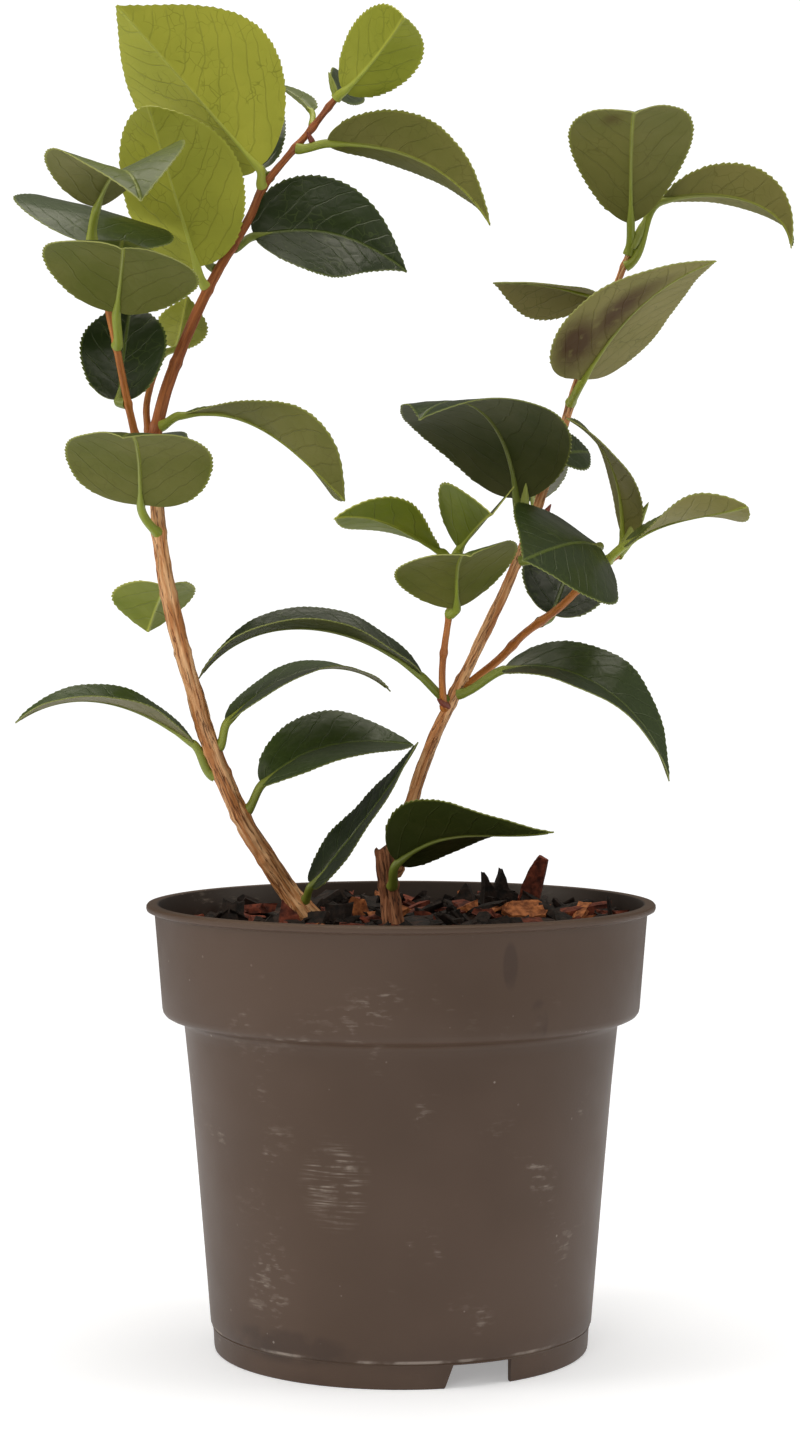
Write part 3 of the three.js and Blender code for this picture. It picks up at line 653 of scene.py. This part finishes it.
def midrib(base, tip, up, habit, t):
    """Centre line of a blade and, at each t, its way on, its right and its upper side."""
    ahead = tip - base
    length = np.linalg.norm(ahead)
    ahead = ahead / length
    up = unit(up - up @ ahead * ahead)
    across = np.cross(ahead, up)
    rise, droop, sweep = (math.radians(habit[k]) for k in ("rise", "droop", "sweep"))
    handle = 0.36 * length / max(0.6, math.cos((rise + droop) / 4))
    near = base + handle * (math.cos(rise) * ahead + math.sin(rise) * up + math.sin(sweep) * across)
    far = tip + handle * (-math.cos(droop) * ahead + math.sin(droop) * up + math.sin(sweep) * across)
    t = t[:, None]
    centre = (1 - t) ** 3 * base + 3 * (1 - t) ** 2 * t * near + 3 * (1 - t) * t**2 * far + t**3 * tip
    way = unit((1 - t) ** 2 * (near - base) + 2 * (1 - t) * t * (far - near) + t**2 * (tip - far))
    normal = unit(np.cross(across, way))
    side = np.cross(way, normal)
    turn = math.radians(habit["twist"]) * (t - 0.5)
    right = side * np.cos(turn) + normal * np.sin(turn)
    upper = normal * np.cos(turn) - side * np.sin(turn)
    return centre, way, right, upper


def give(piece, key, values):
    """Stores a number at each point, which the finishes read."""
    made = piece.data.attributes.new(key, "FLOAT", "POINT")
    made.data.foreach_set("value", (np.zeros(len(piece.data.vertices)) + values).astype(np.float32))


def to_vein(along, out, hand):
    """Distance in mm to the nearest side vein, which leaves the midrib and bends towards the tip."""
    part = (along - 0.8 * out - 0.02 * out**2) / VEIN_GAP + 0.5 * (hand > 0)
    return np.abs(part - np.floor(part) - 0.5) * VEIN_GAP * 0.75


def blade(name, base, tip, up, width, habit, seed):
    """The blade: a grid laid on its curved middle surface, with veins, waves and teeth, made solid."""
    piece, i, j = grid(name, ALONG, ACROSS)
    t = np.linspace(0.004, 0.996, ALONG + 1)
    centre, _, right, upper = midrib(base, tip, up, habit, t)
    run = np.append(0, np.cumsum(np.linalg.norm(np.diff(centre, axis=0), axis=1)))
    half = width / 2 * np.sin(np.pi * t ** habit["early"]) ** (habit["round"] + 0.5 * t)
    hand = 1 - 2 * j / ACROSS
    share = 1 - (1 - np.abs(hand)) ** 1.5
    side = np.where(hand < 0, -1, 1)
    out = np.maximum(half[i], LEAST_HALF) * share
    edge = np.abs(hand) > 0.999
    tooth = (run[i] / TOOTH + 0.37 * side) % 1
    out = out + np.where(edge & (t[i] > 0.07) & (t[i] < 0.97), TOOTH_DEPTH * tooth, 0)
    fold = np.radians(np.where(hand < 0, habit["fold"][0], habit["fold"][1]))
    turn = fold + math.radians(habit["curl"]) * out / width
    flat = right[i] * (side * np.cos(turn))[:, None] + upper[i] * np.sin(turn)[:, None]
    middle = centre[i] + flat * out[:, None]
    fade = np.clip(1.15 - share**3, 0, 1)
    lift = -VEIN_SINK * np.exp(-(to_vein(run[i], out, hand) / 0.7) ** 2) * fade
    lift -= PUCKER * np.exp(-(out / 0.7) ** 2)
    seeds = np.full(len(i), seed)
    lift += PUCKER * noise_at(np.column_stack([run[i] / 4.2, side * out / 4.2, seeds])) * fade
    wave = noise_at(np.column_stack([run[i] / 13, side * 1.5, seeds + 0.5]))
    lift += WAVE * wave * share**2 * np.clip(half[i] / 8, 0, 1)
    set_points(piece, middle + upper[i] * (lift + BLADE_THICK / 2)[:, None])
    while piece.data.uv_layers:
        piece.data.uv_layers.remove(piece.data.uv_layers[0])
    corner = read(piece.data.loops, "vertex_index", np.int32)
    layers = {"Blade": (run[i] / 100, side * out / 100), "OFBake": (t[i], (hand + 1) / 2)}
    for layer, places in layers.items():
        uv = np.column_stack(places)[corner].astype(np.float32)
        piece.data.uv_layers.new(name=layer).data.foreach_set("uv", uv.ravel())
    for key, values in {"margin": half[i] - out, "reach": t[i], "hand": hand}.items():
        give(piece, key, values)
    shell = piece.modifiers.new("thick", "SOLIDIFY")
    shell.thickness, shell.offset, shell.use_even_offset = BLADE_THICK * MM, -1, False
    shell.material_offset, shell.material_offset_rim = 1, 2
    for _ in range(4):
        piece.data.materials.append(None)
    only(piece)
    bpy.ops.object.modifier_apply(modifier="thick")
    return piece


def rib(name, root, out, base, tip, up, width, habit):
    """The stalk from its root on the limb to the blade, and on under it as the midrib."""
    t = np.linspace(0, RIB_END, RIB_STEPS)
    centre, way, _, upper = midrib(base, tip, up, habit, t)
    stalk = min(STALK, width / 15)
    reach = np.linalg.norm(base - root) / 3
    out = unit(out + 0.9 * unit(base - root))
    s = np.linspace(0, 1, STALK_STEPS, endpoint=False)[:, None]
    leave, enter = root + out * reach, base - way[0] * reach
    lead = (1 - s) ** 3 * root + 3 * (1 - s) ** 2 * s * leave + 3 * (1 - s) * s**2 * enter + s**3 * base
    thin = np.maximum(0.12, stalk * (1 - t) ** 1.9 * (1 - 0.4 * np.clip(t / 0.1, 0, 1)))
    sink = (BLADE_THICK * 0.9 + 0.5 * thin) * np.clip(t / 0.14, 0, 1) ** 0.7
    path = np.vstack([lead, centre - upper * sink[:, None]])
    foot = stalk * (1 + 0.35 * np.exp(-((s[:, 0] * 2 * reach) / 1.2) ** 2))
    return tube(name, path, np.append(foot, thin), STALK_SIDES)


def lay_out_blade(mesh):
    """Puts the upper side, the underside and the rim side by side, each in its own columns."""
    corner = read(mesh.loops, "vertex_index", np.int32)
    faces = read(mesh.polygons, "material_index", np.int32)
    part = np.repeat(faces, read(mesh.polygons, "loop_total", np.int32))
    layer = mesh.uv_layers["OFBake"].data
    uv = read(layer, "uv", np.float32, 2)
    new_side = corner >= (ALONG + 1) * (ACROSS + 1)
    column = np.where(part == 0, 0.005 + 0.435 * uv[:, 1], 0.45 + 0.435 * uv[:, 1])
    column = np.where(part == 2, 0.895 + 0.012 * new_side + 0.02 * (uv[:, 1] > 0.5), column)
    layer.foreach_set("uv", np.column_stack([column, uv[:, 0]]).astype(np.float32).ravel())


def lay_out_stalk(mesh):
    """Lays the stalk in the narrow strip that the blade leaves free."""
    mesh.uv_layers[0].name = "OFBake"
    layer = mesh.uv_layers[0].data
    strip = read(layer, "uv", np.float32, 2)[:, ::-1] * (0.04, 1) + (0.95, 0)
    layer.foreach_set("uv", strip.astype(np.float32).ravel())


def mark_stains(piece, stains):
    marks = piece.data.attributes
    along, across = (read(marks[key].data, "value", np.float32) for key in ("reach", "hand"))
    depth = np.zeros(len(along), np.float32)
    for middle, side, long, wide, strength in stains:
        far = np.hypot((along - middle) / long, (across - side) / wide)
        depth = np.maximum(depth, strength * np.clip(1.3 - far, 0, 1))
    give(piece, "stain", depth)


LEAVES = []


def leaf(limb_name, at, base, tip, up, width, look, tone, stains=(), **habit):
    """Sets one leaf on a limb at a height. tone runs from the look's lighter colour at 0 to its
    deeper one at 1, and each stain is (share along, share out, half length, half width, strength)."""
    habit = {**HABIT, **habit}
    if not isinstance(habit["fold"], tuple):
        habit["fold"] = (habit["fold"],) * 2
    base, tip, up = (np.array(p, float) for p in (base, tip, up))
    name = f"{limb_name}_leaf_{LEAVES.count(limb_name) + 1}"
    start, out = leaving(limb_name, at, base)
    piece = blade(name, base, tip, up, width, habit, len(LEAVES) * 1.7)
    stem = rib(name + "_rib", start - out * STALK_SUNK, out, base, tip, up, width, habit)
    lay_out_blade(piece.data)
    mark_stains(piece, stains)
    lay_out_stalk(stem.data)
    for each in (piece, stem):
        give(each, "tone", tone)
    for number, finish in enumerate(LOOKS[look]):
        piece.data.materials[number] = finish
    stem.data.materials.append(LOOKS[look][3])
    deselect()
    stem.select_set(True)
    piece.select_set(True)
    bpy.context.view_layer.objects.active = piece
    bpy.ops.object.join()
    smooth(piece, 50)
    finished(piece, name, look + "_leaf")
    LEAVES.append(limb_name)


def leaf_side(name, light, deep, vein, vein_share, dull, lower):
    """One side of a blade: colour between two greens, side veins, a fine net and stains."""
    made, shader, wire = new_finish(name, dull, 0.2 if lower else 0.33)
    place = place_on(wire)
    flat = wire.node("UVMap", {"uv_map": "Blade"}, {})
    along = axis(flat, "X") * 100
    across = axis(flat, "Y") * 100
    out = abs(across)
    tone, stain, margin = (stored(wire, key) for key in ("tone", "stain", "margin"))
    cloud = clouds(place, 70, 3)
    shade = wire.maths("MINIMUM", tone + cloud * 0.5 - 0.25, 1.0)
    colours = mixed(shade, colour(light), colour(deep))
    wander = clouds(place, 60, 3) * 11 - 5.5
    part = (along + wander - out * 0.8 - out * out * 0.02) / VEIN_GAP
    part = part + wire.maths("GREATER_THAN", across, 0.0) * 0.5
    off = abs(wire.maths("FRACT", part) - 0.5) * VEIN_GAP
    side_veins = step(off, 0.45, 0.1) * step(margin, 0.3, 3.5)
    middle = step(out, 0.75, 0.2)
    stir = wire.node("TexNoise", {}, {"Vector": place, "Scale": 140.0}, "Color")
    bent = wire.node("VectorMath", {"operation": "MULTIPLY_ADD"}, {0: stir, 1: (0.006,) * 3, 2: place})
    cells = {"Vector": bent, "Scale": 260.0}
    net = wire.node("TexVoronoi", {"feature": "DISTANCE_TO_EDGE"}, cells, "Distance")
    web = step(net, 0.045, 0.008) * step(clouds(place, 110, 3), 0.45, 0.62)
    lines = wire.maths("MAXIMUM", side_veins * vein_share, web * vein_share * 2.2)
    colours = mixed(lines, colours, colour(vein[0]))
    colours = mixed(middle * (0.8 if lower else 0.5), colours, colour(vein[1]))
    colours = mixed(step(margin, 0.45, 0.05) * 0.35, colours, colour(vein[1]))
    blotch = stain * step(clouds(place, 240, 4), 0.12, 0.5)
    colours = mixed(wire.maths("MINIMUM", blotch, 0.9), colours, colour("#43260f"))
    feed(shader, "Base Color", colours)
    feed(shader, "Roughness", cloud * 0.2 + (dull - 0.1))
    relief = cloud * 0.4 + wire.maths("MINIMUM", net, 0.35) * 0.35
    relief = relief + (side_veins * 0.35 + middle * 0.5 if lower else 0 - (side_veins * 0.4 + middle * 0.5))
    bumped(shader, relief, 0.0005, 0.8)
    return made


def stalk_finish(name, light, deep, under):
    """A stalk's green, which turns to the underside's along the midrib."""
    made, shader, wire = new_finish(name, 0.42, 0.4)
    tone = stored(wire, "tone")
    grain = stored(wire, "grain", "Vector")
    speck = clouds(place_on(wire), 380, 3)
    green = mixed(wire.maths("MINIMUM", tone * 0.6 + speck * 0.5, 1.0), colour(light), colour(deep))
    far = step(axis(grain, "Z"), 12.0, 34.0) * 0.8
    feed(shader, "Base Color", mixed(far, green, colour(under)))
    return made


def edge_finish(name, code):
    made, shader, _ = new_finish(name, 0.5, 0.4)
    shader.inputs["Base Color"].default_value = colour(code)
    return made


LOOKS = {
    "dark": [
        leaf_side("dark_upper", "#38491f", "#18260c", ("#4c5c2c", "#62732c"), 0.22, 0.34, False),
        leaf_side("dark_under", "#6a6640", "#323b12", ("#43471c", "#7b8436"), 0.2, 0.6, True),
        edge_finish("dark_edge", "#7d8547"),
        stalk_finish("dark_stalk", "#8f9a3c", "#66742a", "#6b703a"),
    ],
    "olive": [
        leaf_side("olive_upper", "#5f6c30", "#304014", ("#73803c", "#848f3c"), 0.22, 0.38, False),
        leaf_side("olive_under", "#8b834c", "#4f5814", ("#525220", "#929a3c"), 0.2, 0.6, True),
        edge_finish("olive_edge", "#959a55"),
        stalk_finish("olive_stalk", "#a3ad3f", "#7c8a30", "#858a48"),
    ],
    "young": [
        leaf_side("young_upper", "#8d983a", "#5a6a18", ("#a0a848", "#adb448"), 0.22, 0.38, False),
        leaf_side("young_under", "#adb040", "#68761c", ("#626c1c", "#b0b648"), 0.2, 0.55, True),
        edge_finish("young_edge", "#b0b55c"),
        stalk_finish("young_stalk", "#b3bb4c", "#8c9a36", "#a0a64a"),
    ],
}

# Left stem, from the soil up
leaf("left_stem", 130, (-26.5, 0, 136), (5, -8, 179), (-0.8, -0.35, 0.5), 18, "dark", 1.0,
     rise=-2, droop=-7, twist=25, early=0.75, round=0.4)
leaf("left_stem", 157, (-41, 1, 166), (4, 15, 177), (0, -0.45, 1), 32, "dark", 0.1,
     rise=38, droop=24, fold=12, early=0.98, round=0.48)
leaf("left_stem", 169, (-61, -2, 178), (-114.5, 5, 184), (0, -0.09, 1), 24, "dark", 0.0,
     rise=33, droop=42, twist=30, fold=16)
leaf("left_stem", 176, (-51.0, -2, 184.5), (-3, 20, 193), (0, -0.06, 1), 24, "dark", -0.5,
     rise=39, droop=50, twist=-5, fold=5, early=0.8)
leaf("left_stem", 222, (-70, 9, 224.5), (-77, 30, 211), (0, 0.6, 0.8), 27, "young", 0.8,
     fold=(12, 35), early=1.2, round=0.3)
leaf("left_stem", 240, (-75, -18, 247.5), (-76, -64, 264), (0.22, 0.35, 1), 41, "olive", 0.75,
     rise=22, droop=42, fold=(8, -8), early=0.72, round=0.5)
leaf("left_stem", 250, (-74, 4, 258), (-86, 66, 268), (0, -0.2, 1), 28, "dark", 0.5, rise=20, droop=25)

# Left front shoot, which carries the cluster of broad leaves at the far left
leaf("left_front_shoot", 277, (-82, -12, 278), (-80, 10, 309), (0, -1, 0.3), 25, "dark", 0.9,
     fold=12, round=0.42)
leaf("left_front_shoot", 293, (-81, -27, 302), (-76, -68, 315), (0.1, 0.5, 0.9), 44, "olive", 0.8,
     rise=35, droop=50, fold=(-10, -8))
leaf("left_front_shoot", 317, (-88, -22, 322), (-92.3, 18, 336.5), (0.2, -0.6, 1), 47, "dark", 0.4,
     rise=25, droop=25, fold=(4, -10))
leaf("left_front_shoot", "tip", (-86, -32, 331), (-70, -74, 327), (0, 0.05, 1), 40, "olive", 0.6,
     rise=43, droop=46, fold=(28, 12))
leaf("left_back_shoot", "tip", (-67, 16, 296), (-65, 35, 313), (0, 1, 0.2), 15, "young", 0.5,
     fold=10, round=0.5, early=1.1)

# Left top bough, with the newest and largest leaves near its end
leaf("left_top_bough", 271, (-65, -6, 274), (-16, -20, 248.5), (0.35, 0.4, 0.85), 34, "olive", 0.7,
     rise=47, droop=18, twist=58, fold=(30, 10), early=1.7)
leaf("left_top_bough", 312, (-60, 3, 318), (-73.0, -13, 363.0), (-0.1, 1, 0.2), 41, "young", 0.3,
     rise=15, droop=42, fold=(4, 46), early=0.82, round=0.45)
leaf("left_top_bough", 318, (-58, 16, 322), (-69, 66, 343), (0, -0.35, 1), 26, "dark", 0.5,
     rise=15, droop=25)
leaf("left_top_bough", 325, (-44, 16, 329), (2, 30, 320), (-0.1, -0.85, 0.45), 38, "dark", 0.7,
     sweep=-26, fold=(5, 14), early=0.8)
leaf("left_top_bough", 343, (-42, 8, 348), (-83.0, -5, 393.5), (-0.1, 1, 0.3), 56, "young", 0.1,
     rise=5, fold=(18, 50))
leaf("left_top_bough", 346, (-42, 22, 350), (-59, 68, 380), (0, -0.5, 1), 26, "dark", 0.4,
     rise=15, droop=25)
leaf("left_top_bough", 355, (-22, 12, 356), (26, -10, 329), (0.3, 0.55, 0.8), 26, "olive", 0.6,
     rise=38, droop=32, fold=21)
leaf("left_top_bough", 361, (-27, 20, 367), (-42, 34, 378), (0, 0.05, 1), 14, "olive", 0.3,
     rise=15, droop=15)
leaf("left_top_bough", 367, (-19, 20, 371), (-16, 55, 382), (0.7, -0.2, 0.7), 13, "dark", 0.5,
     rise=5, fold=5)
leaf("left_top_bough", "tip", (-17, 10, 371), (1, -20, 387), (-0.2, 1, 0.5), 24, "young", 0.5,
     droop=25, sweep=-12, fold=(0, 50), round=0.5)

# Right stump and stem, from the soil up
leaf("right_stump", 137, (-1, -20, 144.3), (43, -43, 155), (-0.1, 0.6, 0.8), 34, "dark", 1.0,
     rise=38, droop=0, twist=-30, fold=(25, 10), early=0.72)
leaf("right_stem", 190, (6, -6, 198), (-60, 2, 197), (0, -0.12, 1), 28, "dark", 0.8,
     rise=44, droop=54, twist=14, fold=17)
leaf("right_stem", 193, (30, -10, 200), (77, -25, 168), (0.35, -0.35, 0.85), 34, "dark", 0.4,
     rise=48, droop=46, fold=12, twist=30)
leaf("right_stem", 240, (34, 0, 250), (5, -48, 270), (0.35, 0.45, 0.9), 50, "dark", 0.8,
     rise=58, droop=56, curl=-12, fold=(5, -2))
leaf("right_stem", 232, (58, -7, 236), (33, -68, 230.5), (0.62, -0.35, 0.65), 40, "dark", 0.6,
     rise=12, droop=15, fold=(-12, -12))
leaf("right_stem", 246, (40, 18, 250), (34, 66, 267), (0, -0.3, 1), 27, "dark", 0.5, rise=20, droop=25)
leaf("right_stem", 262, (46, 18, 264), (58, 40, 266), (0.6, -0.8, 0.4), 12, "dark", 0.5, fold=4)
leaf("right_stem", 279, (53.5, 2, 285), (90, -25, 317), (-0.5, 1, 0.3), 43, "olive", 0.2,
     [(0.2, 0.45, 0.17, 0.42, 1.0), (0.45, 0.22, 0.32, 0.24, 0.9)],
     droop=15, sweep=14, fold=(34, -22), early=0.62, round=0.45)
leaf("right_stem", 296, (62, 24, 300), (68, 68, 310), (0, -0.1, 1), 26, "dark", 0.5,
     rise=20, droop=25, fold=4)
# The olive colour is this leaf's own; its tone below 0, which lightens it to the look's lightest colour, is
# painted light for the bright light on its underside.
leaf("right_stem", 307, (58, 13, 311), (27, 4, 314), (0, 0.4, 0.9), 28, "olive", -0.6,
     fold=(-28, -15), early=0.8)
leaf("right_stem", "tip", (68, 8, 332), (66, -36, 357), (0, 1, 0.6), 36, "olive", 0.6,
     [(0.7, 0.3, 0.08, 0.15, 0.5)], rise=30, droop=48, fold=10, early=1)
leaf("right_stem", 320, (77.5, 12, 339.0), (114, -4, 323), (0.2, 0.5, 0.85), 22, "olive", 0.4,
     rise=47, droop=62, fold=25, early=0.95, round=0.75)

# The two low shoots of the right stem
leaf("right_low_shoot", 216, (16, -21, 218), (19, -62, 232), (-0.3, 0.45, 1), 35, "olive", 0.8,
     rise=25, droop=30, fold=(5, 8))
leaf("right_low_shoot", "tip", (17, -15, 235), (25.5, -43, 244), (0.38, 0.37, 0.8), 31, "young", 1.0,
     rise=15, droop=15, fold=(75, 24))
leaf("right_low_shoot", 230, (12, -14, 234), (-19, -38, 243), (0.1, 0.45, 0.9), 22, "young", 0.9,
     rise=15, droop=25, twist=-38, fold=10, early=1.25, round=0.75)
leaf("right_side_shoot", 214, (45, 13, 216), (53, 40, 234), (0.1, -1, 0.4), 26, "dark", 1.0, round=0.45)
leaf("right_side_shoot", 232, (66, 3, 236.6), (99, -26, 247), (0, -0.1, 1), 24, "olive", 0.3,
     rise=18, droop=0, twist=80, early=1.6, round=0.3)
leaf("right_side_shoot", "tip", (66.6, 15, 239.3), (48, -13, 273), (1, 0.25, 0.35), 24, "olive", 0.4,
     rise=24, droop=30, early=0.78)

# ---------------------------------------------------------------- buds
# Slender green and small red scaly buds at the shoot ends and in some of the leaf axils, each a
# pointed spindle of overlapping scales.
BUD_STEPS, BUD_SIDES, BUD_SCALES = 22, 14, 4

bud_green = stalk_finish("bud_green", "#97a04a", "#6d7b34", "#97a04a")
bud_red = stalk_finish("bud_red", "#8a4a3a", "#5a2a26", "#8a4a3a")


def bud(name, foot, tip, thick, finish):
    foot, tip = np.array(foot, float), np.array(tip, float)
    t = np.linspace(0, 1, BUD_STEPS)
    middle = foot + (tip - foot) * t[:, None]
    plump = thick * np.sin(np.pi * np.clip(t * 0.86 + 0.14, 0, 1)) ** 0.8 * (1 - 0.25 * t) + 0.08
    scales = 1 + 0.10 * ((t * BUD_SCALES) % 1)
    piece = tube(name, middle, plump * scales, BUD_SIDES)
    smooth(piece, 40)
    finished(piece, [], "young_leaf", finish)


bud("side_shoot_bud", (65.5, 11.5, 234), (73.5, 8, 249.5), 1.7, bud_green)
bud("broad_leaf_bud", (36, 0, 242), (36.5, -6, 254.5), 1.5, bud_green)
bud("dark_axil_bud", (41, 2, 243), (44, -3, 248.5), 1.0, bud_red)
bud("right_top_bud", (69, 12, 325), (72.5, 9, 334), 1.3, bud_green)
bud("right_top_small_bud", (68, 15, 323), (71, 17, 329.5), 1.0, bud_green)
bud("left_top_bud", (-19, 13, 369), (-21.5, 11, 377), 1.0, bud_green)
bud("top_bough_spur", (-25.5, 14, 355), (-28, 11, 359.5), 0.9, bud_red)
bud("fork_bud", (14.5, -4, 188.5), (10.5, -9, 191.5), 1.1, bud_red)

# ---------------------------------------------------------------- studio
# A white table in a white room, a large soft light overhead, a tall one on each side and a small one
# in front, and the camera a little above the pot.
TABLE_WIDE = 1.5
LAMP_TINT = (1, 0.93, 0.82)
EYE, LOOKS_DOWN = (-0.0003, -0.896, 0.2125), 1.69
SENSOR, LENS = 36, 76.4

deselect()
bpy.ops.mesh.primitive_plane_add(size=1)
table = bpy.context.object
table.name = table.data.name = "white_table"
bpy.ops.object.mode_set(mode="EDIT")
bpy.ops.mesh.select_all(action="SELECT")
bpy.ops.transform.resize(value=(TABLE_WIDE, TABLE_WIDE, 1))
bpy.ops.object.mode_set(mode="OBJECT")
white, shader, _ = new_finish("white_table", 0.9, 0.1)
shader.inputs["Base Color"].default_value = (0.82, 0.87, 0.97, 1)
shader.inputs["Emission Color"].default_value = (1, 1, 1, 1)
shader.inputs["Emission Strength"].default_value = 0.3
table.data.materials.append(white)

world = bpy.data.worlds.new("studio")
world.use_nodes = True
backdrop = Wire(world.node_tree)
seen = backdrop.node("LightPath", {}, {}, "Is Camera Ray")
sky = world.node_tree.nodes["Background"]
world.node_tree.links.new(mixed(seen, (1, 0.95, 0.86, 1), (1, 1, 1, 1)).socket, sky.inputs["Color"])
world.node_tree.links.new((seen * 0.9 + 0.2).socket, sky.inputs["Strength"])
bpy.context.scene.world = world
bpy.context.scene.view_settings.view_transform = "Standard"


def soft_light(name, place, aim, wide, high, watts):
    deselect()
    bpy.ops.object.light_add(type="AREA", location=place)
    lamp = bpy.context.object
    lamp.name = name
    lamp.data.shape = "RECTANGLE"
    lamp.data.size, lamp.data.size_y, lamp.data.energy = wide, high, watts
    lamp.data.color = LAMP_TINT
    lamp.rotation_euler = (Vector(aim) - Vector(place)).to_track_quat("-Z", "Y").to_euler()


soft_light("overhead", (0, 0.1, 1.6), (0, 0, 0), 1.6, 1.6, 24)
soft_light("left_box", (-1.3, -0.3, 0.7), (0, 0, 0.2), 0.6, 1.2, 8)
soft_light("right_box", (1.3, -0.1, 0.7), (0, 0, 0.2), 0.6, 1.2, 5)
soft_light("front_box", (-0.5, -1.7, 0.7), (0, 0, 0.2), 0.8, 0.8, 7.5)

deselect()
bpy.ops.object.camera_add(location=EYE, rotation=(math.radians(90 - LOOKS_DOWN), 0, 0))
camera = bpy.context.object
camera.data.sensor_width, camera.data.lens = SENSOR, LENS
camera.data.clip_start, camera.data.clip_end = 0.01, 100
bpy.context.scene.camera = camera
